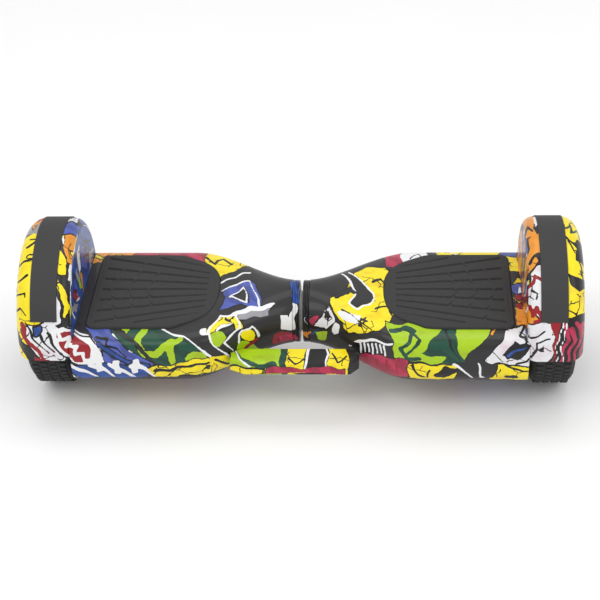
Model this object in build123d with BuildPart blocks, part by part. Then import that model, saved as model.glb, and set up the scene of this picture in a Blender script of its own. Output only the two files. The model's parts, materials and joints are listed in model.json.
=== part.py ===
from build123d import *

import math
import os

# A two-wheeled self balancing board. Its two halves twist on a steel tube at the waist,
# and each half carries one hub-motor wheel under a fender, one foot pad and its electronics.
# Frame: +X along the board, the carry handle on the -Y side, +Z up. The origin lies on the
# floor below the waist. Every half part is drawn on the +X side and mirrored for the left.
# All sizes are in millimetres.

# ---- overall ----
overall_length = 584.0
wheel_radius = 84.0
tyre_width = 45.0
ground_clearance = 30.0
deck_height = 101.0
seam_height = 75.0
deck_half_depth = 91.5
shell_wall = 2.8

# ---- waist ----
neck_radius = 33.0
half_gap = 1.75
ring_length = 7.0
ring_seam = 0.3
ring_grooves = 3
waist_length = 120.0
deck_squareness = 5.0
belly_squareness = 3.2

# ---- fender ----
fender_width = 59.0
fender_radius = 93.0
fender_lip_radius = 69.0
well_clearance = 4.2
inner_shoulder = 12.0
bumper_width = 27.5
bumper_edge = 18.5
bumper_seat_depth = 2.0
bumper_proud = 1.0
bumper_end_angle = 22.0
trim_clearance = 0.15

# ---- foot pad ----
pad_outer_x = 222.0
pad_inner_x = 87.0
pad_half_depth = 70.0
pad_thickness = 5.0
pad_proud = 2.0
pad_travel = 1.6
pad_side_clearance = 0.3
pan_wall = 2.4
plunger_radius = 5.0
plunger_drop = 6.5
plunger_spacing = 64.0
plunger_x = 150.0

# ---- twist joint ----
twist_limit = 10.0
tube_radius = 17.0
tube_wall = 3.0
tube_half_length = 74.0
housing_radius = 23.0
housing_start = 4.0
housing_end = 66.0
bush_wall = 2.0
bush_length = 14.0
bush_flange = 1.5
running_clearance = 0.05
stop_bolt_radius = 3.0
stop_bolt_x = 38.0
clip_thickness = 1.5
clip_groove_depth = 1.0
clip_height = 3.5
cable_radius = 4.5
cable_half_length = 88.0
plug_length = 12.0

# ---- chassis ----
plate_bottom = 77.0
plate_thickness = 3.0
rib_drop = 7.0
rib_thickness = 5.0
plate_half_width = 63.0
plate_start = 86.0
plate_neck_start = 30.0
plate_neck_half_width = 34.0
axle_block_length = 23.0
axle_block_half_width = 24.0
axle_roof = 3.4
cable_window_half_width = 9.0
axle_block_bottom = 66.0
clamp_bolt_y = 16.0
clamp_head_height = 5.0
board_post_radius = 3.0

# ---- hub motor ----
axle_radius = 7.5
axle_flat = 6.0
bearing_radius = 16.0
bearing_width = 9.0
rim_radius = 67.0
rim_wall = 7.0
rim_width = 37.0
hub_cover_radius = 66.0
bearing_boss_wall = 4.0
magnet_count = 30
magnet_thickness = 3.0
magnet_gap = 1.2
air_gap = 0.6
stator_teeth = 27
stator_width = 22.0
tooth_width = 4.0
yoke_radius = 40.0
yoke_wall = 6.0
coil_thickness = 2.1
coil_overhang = 3.4
coil_length = 10.5
stator_hub_radius = 14.0
stator_hub_width = 18.0
stator_web = 6.0
cover_thickness = 3.5
cover_screw_count = 6
cover_screw_radius = 1.6
cover_screw_head = 2.8
cover_screw_head_height = 1.6
tyre_corner = 9.0
tyre_groove_width = 2.0
tyre_groove_depth = 2.0

# ---- electronics ----
battery_length = 104.0
battery_width = 92.0
battery_height = 38.0
battery_x = 154.0
bracket_wall = 1.5
bracket_width = 60.0
bracket_flange = 7.0
bracket_screw_radius = 1.5
board_thickness = 1.6
main_board_x = 152.0
main_board_length = 96.0
main_board_width = 88.0
main_board_drop = 13.5
gyro_board_x = 162.0
gyro_board_length = 56.0
gyro_board_width = 84.0
gyro_board_gap = 2.0

# ---- fasteners ----
screw_radius = 1.95
screw_hole_radius = 2.2
screw_head_radius = 3.6
screw_head_height = 3.0
boss_radius = 5.0
boss_xs = (98.0, 152.0, 203.0)
boss_y = 57.0
clamp_bolt_radius = 2.9

# ---- handle ----
handle_inner_y = 61.0
handle_width = 27.0
handle_bottom = 55.0
handle_thickness = 15.0
handle_left_x = -72.0
handle_right_x = 62.0
handle_bend_x = 40.0
handle_tip_width = 11.0
handle_tip_length = 9.0
handle_edge_radius = 4.5
handle_clearance = 2.5
tongue_thickness = 8.0
tongue_length = 13.0
tongue_depth = 34.0

# ---- flat rest on each belly ----
rest_x = 165.0
rest_length = 70.0
rest_width = 44.0
rest_drop = 0.8

# ---- lamp, switch and charging port, all on the +Y side ----
lamp_length = 56.0
lamp_height = 14.0
lamp_x = 190.0
lamp_depth = 6.0
port_panel_length = 50.0
port_panel_height = 22.0
port_panel_x = 126.0
port_panel_depth = 8.5
port_spacing = 24.0
button_radius = 6.5
button_travel = 1.5
socket_radius = 6.5
socket_collar = 7.6
socket_bore = 5.0
socket_depth = 7.0
cap_radius = 7.4
cap_thickness = 2.0
cap_hinge_rise = 9.2
cap_pin_radius = 0.8
button_proud = 2.5
button_flange = 7.8
button_housing_radius = 9.5
fit_clearance = 0.2

# ---- values worked out from the sizes above ----
axle_z = wheel_radius
half_length = overall_length / 2
fender_x = half_length - fender_width
well_radius = wheel_radius + well_clearance
shell_start = half_gap + ring_length + ring_seam
bumper_x = half_length - bumper_edge - bumper_width
pad_top = deck_height + pad_proud
pad_bottom = pad_top - pad_thickness
pan_floor = pad_bottom - pad_travel - fit_clearance
pan_underside = pan_floor - pan_wall
plate_top = plate_bottom + plate_thickness
rib_bottom = plate_bottom - rib_drop
axle_block_x = fender_x - 3.0 - axle_block_length
axle_block_mid = axle_block_x + axle_block_length / 2
plate_end = axle_block_x + 5.0
wheel_x = fender_x + fender_width / 2
rim_side = rim_width / 2
magnet_radius = rim_radius - rim_wall - magnet_thickness
stator_radius = magnet_radius - air_gap
bore_radius = axle_radius + running_clearance
strap_bottom = axle_z + axle_flat
housing_bottom = seam_height - housing_radius
clip_x = housing_end + bush_flange + 0.2
clip_window = tube_radius + clip_height + 1.5
plungers = [(plunger_x, -plunger_spacing / 2), (plunger_x, plunger_spacing / 2)]
battery_bottom = plate_bottom - 0.4 - battery_height
board_bottom = plate_bottom - main_board_drop - board_thickness
board_posts = [(main_board_x + x, y) for x in (-42.0, 42.0) for y in (-38.0, 38.0)]
gyro_posts = [(gyro_board_x + x, y) for x in (-24.0, 24.0) for y in (-38.0, 38.0)]
bush_radius = tube_radius + bush_wall
handle_front_y = handle_inner_y + handle_width
handle_top = handle_bottom + handle_thickness
axle_axis = Axis((0, 0, axle_z), (1, 0, 0))
face_height = (seam_height + ground_clearance) / 2 + 4.0
lamp_back_y = deck_half_depth - lamp_depth - 6.0
panel_floor_y = deck_half_depth - port_panel_depth - 3.0
socket_x = port_panel_x - port_spacing / 2
button_x = port_panel_x + port_spacing / 2
tongue_x = -handle_left_x - tongue_length / 2 - 0.5
tongue_y = -(handle_inner_y + 6.0 - tongue_depth / 2)
tongue_z = handle_top - 1.0 - tongue_thickness / 2

os.makedirs("parts", exist_ok=True)


def write(name, shape):
    """Labels a finished piece and writes it as its node's STEP file."""
    shape.label = name
    export_step(shape, f"parts/{name}.step")


def write_pair(name, shape):
    """Writes a half part for the right side and its mirror image for the left."""
    write(f"right_{name}", shape)
    write(f"left_{name}", mirror(shape, about=Plane.YZ))


def x_plane(x, z=0.0):
    """A plane across the board at x, its own x along Y and its own y along Z."""
    return Plane(origin=(x, 0, z), x_dir=(0, 1, 0), z_dir=(1, 0, 0))


def axle_plane(angle):
    """A plane that holds the axle line, its own y pointing at angle degrees above +Y."""
    tilt = math.radians(angle)
    return Plane(
        origin=(0, 0, axle_z),
        x_dir=(1, 0, 0),
        z_dir=(0, -math.sin(tilt), math.cos(tilt)),
    )


# ---------------------------------------------------------------- body shells


def waist_share(x):
    """0 at the waist, rising smoothly to 1 where the deck has its full width."""
    t = min(max(x / waist_length, 0.0), 1.0)
    return t * t * (3 - 2 * t)


def section_size(x, inset, up):
    """Half depth, rise and fullness of the upper or lower half of the section at x."""
    share = waist_share(x)
    depth = neck_radius + (deck_half_depth - neck_radius) * share - inset
    far = deck_height - seam_height if up else seam_height - ground_clearance
    rise = neck_radius + (far - neck_radius) * share - inset
    square = 2 + ((deck_squareness if up else belly_squareness) - 2) * share
    fullness = (8 * 2 ** (-1 / square) - 4) / 3
    return depth, rise, fullness


def half_section(x, inset, up, overrun):
    """The upper or lower half of the body's cross-section at x, shrunk by inset."""
    depth, rise, fullness = section_size(x, inset, up)
    side = 1 if up else -1
    with BuildSketch(x_plane(x, seam_height)) as section:
        with BuildLine():
            for hand in (1, -1):
                Bezier(
                    (hand * depth, 0),
                    (hand * depth, side * rise * fullness),
                    (hand * depth * fullness, side * rise),
                    (0, side * rise),
                )
            if overrun:
                Polyline((-depth, 0), (-depth, -side * overrun), (depth, -side * overrun), (depth, 0))
            else:
                Line((-depth, 0), (depth, 0))
        make_face()
    return section.sketch


def body_block(start, end, inset, up, overrun=0.0):
    """The upper or lower half of the body as a solid: a lofted waist and a straight deck."""
    stations = [start + (waist_length - start) * i / 5 for i in range(6)]
    with BuildPart() as block:
        loft([half_section(x, inset, up, overrun) for x in stations])
        extrude(half_section(waist_length, inset, up, overrun), amount=end - waist_length, dir=(1, 0, 0))
    return block.part


def belly_height(x, y):
    """Height of the belly's outer surface above the floor."""
    depth, rise, fullness = section_size(x, 0, up=False)
    low, high = 0.0, 1.0
    for _ in range(30):
        t = (low + high) / 2
        out = depth * ((1 - t) ** 3 + 3 * t * (1 - t) ** 2 + 3 * t * t * (1 - t) * fullness)
        low, high = (t, high) if out > abs(y) else (low, t)
    return seam_height - rise * (3 * t * (1 - t) ** 2 * fullness + 3 * t * t * (1 - t) + t**3)


def screw_seat(x):
    """Height of the seat that a shell screw's head bears on."""
    return belly_height(x, boss_y + boss_radius) + 4.5


def fender_profile(side_wall, crown_wall):
    """Draws the fender's section from the axle out, shrunk by a side wall and a crown wall."""
    left = fender_x + side_wall
    top = axle_z + fender_radius - crown_wall
    shoulder_x = fender_x + inner_shoulder
    lip_x = half_length - bumper_edge
    lip_z = axle_z + fender_lip_radius
    with BuildSketch(Plane.XZ) as profile:
        with BuildLine():
            Line((left, axle_z), (left, axle_z + fender_radius - inner_shoulder))
            EllipticalCenterArc(
                (shoulder_x, axle_z + fender_radius - inner_shoulder),
                inner_shoulder - side_wall,
                inner_shoulder - crown_wall,
                start_angle=90,
                arc_size=90,
            )
            Line((shoulder_x, top), (lip_x, top))
            EllipticalCenterArc(
                (lip_x, lip_z),
                bumper_edge - side_wall,
                fender_radius - fender_lip_radius - crown_wall,
                start_angle=0,
                arc_size=90,
            )
            Line((half_length - side_wall, lip_z), (half_length - side_wall, axle_z))
            Line((half_length - side_wall, axle_z), (left, axle_z))
        make_face()
    return profile.sketch


def fender_shell():
    """The fender's wall: an arch turned about the axle, open at its outer face and seam."""
    with BuildPart() as arch:
        revolve(fender_profile(0, 0), axis=axle_axis)
        revolve(fender_profile(shell_wall, fender_radius - well_radius), axis=axle_axis, mode=Mode.SUBTRACT)
        with BuildSketch(x_plane(half_length - 2 * shell_wall, axle_z)):
            Circle(fender_lip_radius)
        extrude(amount=20, mode=Mode.SUBTRACT)
        split(bisect_by=Plane.XY.offset(seam_height), keep=Keep.TOP)
    return arch.part


def bumper_ring(depth_in, height_out, slack):
    """The sector of ring that the bumper strip fills on the fender's crown."""
    low = fender_radius - depth_in
    span = 180 - 2 * bumper_end_angle
    trim = math.degrees(slack / fender_radius)
    with BuildPart() as ring:
        with BuildSketch(axle_plane(bumper_end_angle + trim)):
            with Locations((bumper_x + bumper_width / 2, (low + fender_radius + height_out) / 2)):
                Rectangle(bumper_width - 2 * slack, depth_in + height_out)
        revolve(axis=axle_axis, revolution_arc=span - 2 * trim)
    return ring.part


def pad_outline(grow, height):
    """The foot pad's outline at a height: square at the fender, full and round at the waist."""
    inner = pad_inner_x - grow
    outer = pad_outer_x + grow
    half = pad_half_depth + grow
    shoulder = pad_inner_x + 66.0
    corner = 9.0
    with BuildSketch(Plane.XY.offset(height)) as outline:
        with BuildLine():
            Spline(
                (shoulder, half),
                (inner + 36.0, half - 6.5),
                (inner + 16.0, half - 18.5),
                (inner + 4.0, half - 38.0),
                (inner, 0),
                (inner + 4.0, -half + 38.0),
                (inner + 16.0, -half + 18.5),
                (inner + 36.0, -half + 6.5),
                (shoulder, -half),
                tangents=[(-1, 0), (1, 0)],
            )
            Line((shoulder, -half), (outer - corner, -half))
            RadiusArc((outer - corner, -half), (outer, -half + corner), -corner)
            Line((outer, -half + corner), (outer, half - corner))
            RadiusArc((outer, half - corner), (outer - corner, half), -corner)
            Line((outer - corner, half), (shoulder, half))
        make_face()
    return outline.sketch


def side_prism(x, z, length, height, radius, y_from, y_to):
    """A rounded block along Y, for the lamp and the port panel on the +Y side."""
    plane = Plane(origin=(x, y_from, z), x_dir=(-1, 0, 0), z_dir=(0, 1, 0))
    with BuildPart() as prism:
        with BuildSketch(plane):
            RectangleRounded(length, height, radius)
        extrude(amount=y_to - y_from)
    return prism.part


def lamp_prism(grow, y_from, y_to):
    """Returns the lamp's rounded block, grown all round, between two depths."""
    length = lamp_length + 2 * grow
    height = lamp_height + 2 * grow
    return side_prism(lamp_x, face_height, length, height, height / 2 - 0.5, y_from, y_to)


def port_prism(grow, y_from, y_to):
    """Returns the port panel's rounded block, grown all round, between two depths."""
    length = port_panel_length + 2 * grow
    height = port_panel_height + 2 * grow
    return side_prism(port_panel_x, face_height, length, height, 5.0 + grow, y_from, y_to)


def side_cylinder(x, radius, y_from, y_to):
    """A cylinder along Y at the height of the lamp and the ports."""
    plane = Plane(origin=(x, y_from, face_height), x_dir=(-1, 0, 0), z_dir=(0, 1, 0))
    with BuildPart() as rod:
        with BuildSketch(plane):
            Circle(radius)
        extrude(amount=y_to - y_from)
    return rod.part


def posts(places, radius, bottom, top):
    """Upright cylinders at each place, all between the same two heights."""
    with BuildPart() as row:
        with BuildSketch(Plane.XY.offset(bottom)):
            with Locations(*places):
                Circle(radius)
        extrude(amount=top - bottom)
    return row.part


boss_places = [(x, y) for x in boss_xs for y in (-boss_y, boss_y)]
outer_upper = body_block(shell_start, fender_x + shell_wall, 0, up=True)
inner_upper = body_block(shell_start - 1, fender_x, shell_wall, up=True, overrun=1.0)
outer_lower = body_block(shell_start, fender_x + shell_wall, 0, up=False)
inner_lower = body_block(shell_start - 1, fender_x, shell_wall, up=False, overrun=1.0)

with BuildPart() as pan:
    pan_height = deck_height + 20 - pan_underside
    extrude(pad_outline(pad_side_clearance + shell_wall, pan_underside), amount=pan_height)
    add(posts(boss_places, boss_radius, plate_top, pan_underside + 1))
    tip_places = [place for place in boss_places if place[0] < pad_inner_x + 20]
    add(posts(tip_places, boss_radius, plate_top, deck_height))
    add(outer_upper, mode=Mode.INTERSECT)

with BuildPart() as right_upper_shell:
    add(outer_upper)
    add(inner_upper, mode=Mode.SUBTRACT)
    add(fender_shell())
    add(bumper_ring(bumper_seat_depth, 5.0, 0), mode=Mode.SUBTRACT)
    add(pan.part)
    extrude(pad_outline(pad_side_clearance, pan_floor), amount=40, mode=Mode.SUBTRACT)
    add(posts(plungers, plunger_radius + 0.5, pan_underside - 1, pan_floor + 1), mode=Mode.SUBTRACT)
    screw_hole = screw_radius + running_clearance
    add(posts(boss_places, screw_hole, plate_top - 1, plate_top + 9), mode=Mode.SUBTRACT)
    with BuildSketch(x_plane(fender_x - 1, 0)):
        with Locations((0, axle_z)):
            Circle(axle_radius + 1)
        with Locations((0, (seam_height + axle_z) / 2 - 1)):
            Rectangle(2 * axle_radius + 2, axle_z - seam_height + 2)
    extrude(amount=shell_wall + 2, mode=Mode.SUBTRACT)
write_pair("upper_shell", right_upper_shell.part)

def screw_room(place):
    """The stepped hole that a shell screw passes through from below."""
    with BuildPart() as room:
        add(posts([place], screw_hole_radius, ground_clearance - 2, rib_bottom + 1))
        add(posts([place], screw_head_radius + 0.4, ground_clearance - 2, screw_seat(place[0])))
    return room.part


def lower_shell(right):
    """Belly of one half, with screw bosses, a lamp window and, on the right, the port panel."""
    with BuildPart() as stiff:
        for place in boss_places:
            add(posts([place], boss_radius, belly_height(place[0], boss_y + boss_radius) + 0.4, rib_bottom))
    if right:
        with BuildPart() as tray:
            add(port_prism(shell_wall, panel_floor_y - shell_wall, deck_half_depth + 10))
            add(outer_lower, mode=Mode.INTERSECT)
    with BuildPart() as shell:
        add(outer_lower)
        add(inner_lower, mode=Mode.SUBTRACT)
        add(stiff.part)
        if right:
            add(tray.part)
            add(port_prism(0, panel_floor_y, deck_half_depth + 10), mode=Mode.SUBTRACT)
            inner_y = panel_floor_y - 9
            outer_y = panel_floor_y + 1
            add(side_cylinder(socket_x, socket_radius + fit_clearance, inner_y, outer_y), mode=Mode.SUBTRACT)
            add(side_cylinder(button_x, button_radius + fit_clearance, inner_y, outer_y), mode=Mode.SUBTRACT)
        with BuildSketch(Plane.XY.offset(ground_clearance - rest_drop)):
            with Locations((rest_x, 0)):
                RectangleRounded(rest_length, rest_width, 10)
        extrude(amount=rest_drop + shell_wall)
        for place in boss_places:
            add(screw_room(place), mode=Mode.SUBTRACT)
        add(lamp_prism(fit_clearance, lamp_back_y - 6, deck_half_depth + 10), mode=Mode.SUBTRACT)
        if not right:
            with Locations((tongue_x, tongue_y, tongue_z)):
                Box(
                    tongue_length + 2 * fit_clearance,
                    tongue_depth,
                    tongue_thickness + 2 * fit_clearance,
                    mode=Mode.SUBTRACT,
                )
    return shell.part


right_lower = lower_shell(right=True)
left_lower = lower_shell(right=False)
write("right_lower_shell", right_lower)
write("left_lower_shell", mirror(left_lower, about=Plane.YZ))

# ---------------------------------------------------------------- trim


with BuildPart() as bumper_strip:
    add(bumper_ring(bumper_seat_depth - trim_clearance, bumper_proud, trim_clearance))
write_pair("bumper_strip", bumper_strip.part)

with BuildPart() as waist_ring:
    with BuildSketch(x_plane(half_gap, seam_height)):
        Circle(neck_radius)
    extrude(amount=ring_length)
    fillet(waist_ring.edges().filter_by(GeomType.CIRCLE), 1.0)
    with BuildSketch(x_plane(half_gap - 1, seam_height)):
        Circle(housing_radius + running_clearance)
    extrude(amount=ring_length + 2, mode=Mode.SUBTRACT)
    for i in range(ring_grooves):
        with BuildSketch(x_plane(half_gap + ring_length * (i + 1) / (ring_grooves + 1) - 0.3, seam_height)):
            Circle(neck_radius + 1)
            Circle(neck_radius - 0.6, mode=Mode.SUBTRACT)
        extrude(amount=0.6, mode=Mode.SUBTRACT)
write_pair("waist_ring", waist_ring.part)

with BuildPart() as foot_pad:
    extrude(pad_outline(0, pad_bottom), amount=pad_thickness)
    fillet(foot_pad.faces().sort_by(Axis.Z)[-1].edges(), 0.8)
    for i in range(-4, 5):
        with Locations(((pad_inner_x + pad_outer_x) / 2, i * 14.0, pad_top)):
            Box(pad_outer_x - pad_inner_x - 20 - 2 * abs(i) ** 2, 1.2, 1.6, mode=Mode.SUBTRACT)
    add(posts(plungers, plunger_radius, pad_bottom - plunger_drop, pad_bottom + 1))
write_pair("foot_pad", foot_pad.part)


# ---------------------------------------------------------------- chassis


def chassis(left):
    """Cast plate with the pivot housing, the axle block and the seats for everything bolted to it."""
    with BuildPart() as casting:
        with BuildSketch(Plane.XY.offset(plate_bottom)):
            with Locations(((plate_start + plate_end) / 2, 0)):
                Rectangle(plate_end - plate_start, 2 * plate_half_width)
            with Locations(((plate_neck_start + plate_start) / 2, 0)):
                Rectangle(plate_start - plate_neck_start + 2, 2 * plate_neck_half_width)
        extrude(amount=plate_thickness)
        plate_mid = (plate_start + plate_end) / 2
        rib_y = plate_half_width - rib_thickness / 2
        with BuildSketch(Plane.XY.offset(rib_bottom)):
            with Locations((plate_mid, -rib_y), (plate_mid, rib_y)):
                Rectangle(plate_end - plate_start, rib_thickness)
        extrude(amount=rib_drop + 1)
        add(posts(boss_places, boss_radius, rib_bottom, plate_bottom + 1))
        add(posts(gyro_posts, board_post_radius, plate_top - 1, plate_top + gyro_board_gap))
        with BuildSketch(x_plane(housing_start, seam_height)):
            Circle(housing_radius)
        extrude(amount=housing_end - housing_start)
        with Locations((axle_block_mid, 0, (axle_block_bottom + strap_bottom) / 2)):
            Box(axle_block_length, 2 * axle_block_half_width, strap_bottom - axle_block_bottom)
        if left:
            add(posts(board_posts, board_post_radius, board_bottom + board_thickness, plate_bottom + 1))
            with Locations((tongue_x, tongue_y + 2, (tongue_z + tongue_thickness / 2 + plate_top) / 2 + 0.1)):
                Box(tongue_length, tongue_depth - 14, plate_top - tongue_z - tongue_thickness / 2 - 0.2)
        with BuildSketch(x_plane(housing_start - 1, seam_height)):
            Circle(bush_radius)
        extrude(amount=housing_end - housing_start + 2, mode=Mode.SUBTRACT)
        with Locations(((housing_end + tube_half_length + 2) / 2, 0, plate_bottom + plate_thickness / 2)):
            Box(tube_half_length + 2 - housing_end, 2 * clip_window, plate_thickness + 2, mode=Mode.SUBTRACT)
        cable_window_end = plate_start + 20
        with Locations(((housing_end + cable_window_end) / 2, 0, plate_bottom + plate_thickness / 2)):
            Box(
                cable_window_end - housing_end,
                2 * cable_window_half_width,
                plate_thickness + 2,
                mode=Mode.SUBTRACT,
            )
        with Locations((axle_block_mid, 0, axle_z + 10 - axle_flat)):
            Box(axle_block_length + 2, 2 * bore_radius, 20, mode=Mode.SUBTRACT)
        add(posts(boss_places, screw_hole_radius, rib_bottom - 1, plate_top + 1), mode=Mode.SUBTRACT)
        clamp_hole = clamp_bolt_radius + running_clearance
        add(posts(clamp_places, clamp_hole, axle_block_bottom - 1, strap_bottom + 1), mode=Mode.SUBTRACT)
        stop_hole = stop_bolt_radius + running_clearance
        tube_underside = seam_height - tube_radius
        add(posts([(stop_bolt_x, 0)], stop_hole, housing_bottom - 1, tube_underside), mode=Mode.SUBTRACT)
        if left:
            handle_hole = screw_hole_radius - 0.2
            add(posts(handle_screw_places, handle_hole, tongue_z, plate_top - 1.5), mode=Mode.SUBTRACT)
        else:
            bracket_hole = bracket_screw_radius + 0.05
            hole_top = plate_top - 0.6
            add(posts(bracket_screw_places, bracket_hole, plate_bottom - 1, hole_top), mode=Mode.SUBTRACT)
    return casting.part


clamp_places = [(axle_block_mid, -clamp_bolt_y), (axle_block_mid, clamp_bolt_y)]
handle_screw_places = [(tongue_x, tongue_y + y) for y in (4.0, 12.5)]
bracket_y = battery_width / 2 + 0.3
bracket_screw_places = [
    (battery_x + x, side * (bracket_y + bracket_wall + 2.8)) for x in (-20.0, 20.0) for side in (-1, 1)
]
write("right_chassis", chassis(left=False))
write("left_chassis", mirror(chassis(left=True), about=Plane.YZ))

with BuildPart() as axle_strap:
    with Locations((axle_block_mid, 0, strap_bottom + axle_roof / 2)):
        Box(axle_block_length, 2 * axle_block_half_width, axle_roof)
    clamp_hole = clamp_bolt_radius + running_clearance
    add(posts(clamp_places, clamp_hole, strap_bottom - 1, strap_bottom + 5), mode=Mode.SUBTRACT)
write_pair("axle_strap", axle_strap.part)

with BuildPart() as axle_strap_bolts:
    add(posts(clamp_places, clamp_bolt_radius, axle_block_bottom - 1, strap_bottom + axle_roof - 0.4))
    clamp_head_bottom = axle_block_bottom - clamp_head_height
    add(posts(clamp_places, clamp_bolt_radius + 2.4, clamp_head_bottom, axle_block_bottom))
write_pair("axle_strap_bolts", axle_strap_bolts.part)

with BuildPart() as shell_screws:
    for place in boss_places:
        seat = screw_seat(place[0])
        add(posts([place], screw_radius, seat - 1, plate_top + 8))
        add(posts([place], screw_head_radius, seat - screw_head_height, seat))
        with Locations((place[0], place[1], seat - screw_head_height)):
            Box(1.2, 5.0, 2.0, mode=Mode.SUBTRACT)
write_pair("shell_screws", shell_screws.part)

with BuildPart() as gyro_board:
    board_base = plate_top + gyro_board_gap
    with Locations((gyro_board_x, 0, board_base + board_thickness / 2)):
        Box(gyro_board_length, gyro_board_width, board_thickness)
    with Locations((gyro_board_x, 0, board_base + board_thickness + 1)):
        Box(18, 14, 2.2)
    for x, y in plungers:
        for side in (-1, 1):
            with Locations((x + side * (plunger_radius + 3.0), y, board_base + board_thickness + 2.8)):
                Box(4.0, 9.0, 5.8)
write_pair("gyro_board", gyro_board.part)


# ---------------------------------------------------------------- hub motor


def turned(outline):
    """A body turned about the axle from an outline of (distance from wheel centre, radius) points."""
    with BuildPart() as body:
        with BuildSketch(Plane.XZ):
            with BuildLine():
                Polyline([(wheel_x + x, axle_z + r) for x, r in outline], close=True)
            make_face()
        revolve(axis=axle_axis)
    return body.part


with BuildPart() as tyre:
    with BuildSketch(x_plane(wheel_x - tyre_width / 2, axle_z)):
        Circle(wheel_radius)
    extrude(amount=tyre_width)
    fillet(tyre.edges().filter_by(GeomType.CIRCLE), tyre_corner)
    with BuildSketch(x_plane(wheel_x - tyre_width, axle_z)):
        Circle(rim_radius)
    extrude(amount=2 * tyre_width, mode=Mode.SUBTRACT)
    for x in (-9.0, 0.0, 9.0):
        with BuildSketch(x_plane(wheel_x + x - tyre_groove_width / 2, axle_z)):
            Circle(wheel_radius + 1)
            Circle(wheel_radius - tyre_groove_depth, mode=Mode.SUBTRACT)
        extrude(amount=tyre_groove_width, mode=Mode.SUBTRACT)
write_pair("tyre", tyre.part)


def cover_screw_holes(radius, start, length):
    """Cylinders along the axle at every cover screw, for the screws and their holes."""
    with BuildPart() as holes:
        with BuildSketch(x_plane(wheel_x + start, axle_z)):
            with PolarLocations(rim_radius - rim_wall / 2, cover_screw_count):
                Circle(radius)
        extrude(amount=length)
    return holes.part


with BuildPart() as hub_rim:
    add(
        turned(
            [
                (-rim_side, rim_radius - rim_wall),
                (-rim_side, rim_radius),
                (rim_side, rim_radius),
                (rim_side, rim_radius - rim_wall),
            ]
        )
    )
    add(cover_screw_holes(cover_screw_radius + 0.05, -rim_side - 1, 10), mode=Mode.SUBTRACT)
    add(cover_screw_holes(cover_screw_radius + 0.05, rim_side - 9, 10), mode=Mode.SUBTRACT)
write_pair("hub_rim", hub_rim.part)

with BuildPart() as magnets:
    with BuildSketch(x_plane(wheel_x - 12.5, axle_z)):
        Circle(rim_radius - rim_wall)
        Circle(magnet_radius, mode=Mode.SUBTRACT)
        with PolarLocations(magnet_radius + magnet_thickness / 2, magnet_count):
            Rectangle(3 * magnet_thickness, magnet_gap, mode=Mode.SUBTRACT)
    extrude(amount=25)
write_pair("magnets", magnets.part)

boss_start = rim_side - bearing_width
boss_outer = bearing_radius + bearing_boss_wall
with BuildPart() as hub_covers:
    for side, bore in ((-1, axle_radius + 1.0), (1, 0.0)):
        add(
            turned(
                [
                    (side * boss_start, bearing_radius),
                    (side * boss_start, boss_outer),
                    (side * rim_side, boss_outer + 4.0),
                    (side * rim_side, hub_cover_radius),
                    (side * (rim_side + cover_thickness), hub_cover_radius - 1.0),
                    (side * (rim_side + cover_thickness), bore),
                    (side * rim_side, bore),
                    (side * rim_side, bearing_radius),
                ]
            )
        )
    add(cover_screw_holes(cover_screw_radius + 0.05, -rim_side - 10, 2 * rim_side + 20), mode=Mode.SUBTRACT)
write_pair("hub_covers", hub_covers.part)

with BuildPart() as cover_screws:
    side_x = rim_side + cover_thickness
    add(cover_screw_holes(cover_screw_radius, -side_x - 0.5, cover_thickness + 8))
    add(cover_screw_holes(cover_screw_head, -side_x - cover_screw_head_height, cover_screw_head_height))
    add(cover_screw_holes(cover_screw_radius, side_x + 0.5 - cover_thickness - 8, cover_thickness + 8))
    add(cover_screw_holes(cover_screw_head, side_x, cover_screw_head_height))
write_pair("cover_screws", cover_screws.part)

with BuildPart() as bearings:
    for side in (-1, 1):
        add(
            turned(
                [
                    (side * boss_start, bore_radius),
                    (side * boss_start, bearing_radius),
                    (side * rim_side, bearing_radius),
                    (side * rim_side, bore_radius),
                ]
            )
        )
write_pair("bearings", bearings.part)

with BuildPart() as axle:
    with BuildSketch(x_plane(axle_block_x, axle_z)):
        Circle(axle_radius)
        Rectangle(3 * axle_radius, 2 * axle_flat, mode=Mode.INTERSECT)
    extrude(amount=axle_block_length + 1.0)
    with BuildSketch(x_plane(axle_block_x + axle_block_length + 1.0, axle_z)):
        Circle(axle_radius)
    extrude(amount=wheel_x + rim_side - 0.3 - axle_block_x - axle_block_length - 1.0)
write_pair("axle", axle.part)

with BuildPart() as stator_core:
    with BuildSketch(x_plane(wheel_x - stator_width / 2, axle_z)):
        Circle(yoke_radius)
        with PolarLocations((yoke_radius + stator_radius) / 2 - 1, stator_teeth):
            Rectangle(stator_radius - yoke_radius, tooth_width)
        with BuildSketch(mode=Mode.ADD):
            Circle(stator_radius)
            Circle(stator_radius - 2.0, mode=Mode.SUBTRACT)
            with PolarLocations(stator_radius, stator_teeth, start_angle=180 / stator_teeth):
                Rectangle(8, 2.4, mode=Mode.SUBTRACT)
        Circle(yoke_radius - yoke_wall, mode=Mode.SUBTRACT)
    extrude(amount=stator_width)
    add(
        turned(
            [
                (-stator_hub_width / 2, axle_radius),
                (-stator_hub_width / 2, stator_hub_radius),
                (-stator_web / 2, stator_hub_radius),
                (-stator_web / 2, yoke_radius - 2),
                (stator_web / 2, yoke_radius - 2),
                (stator_web / 2, stator_hub_radius),
                (stator_hub_width / 2, stator_hub_radius),
                (stator_hub_width / 2, axle_radius),
            ]
        )
    )
write_pair("stator_core", stator_core.part)

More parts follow.
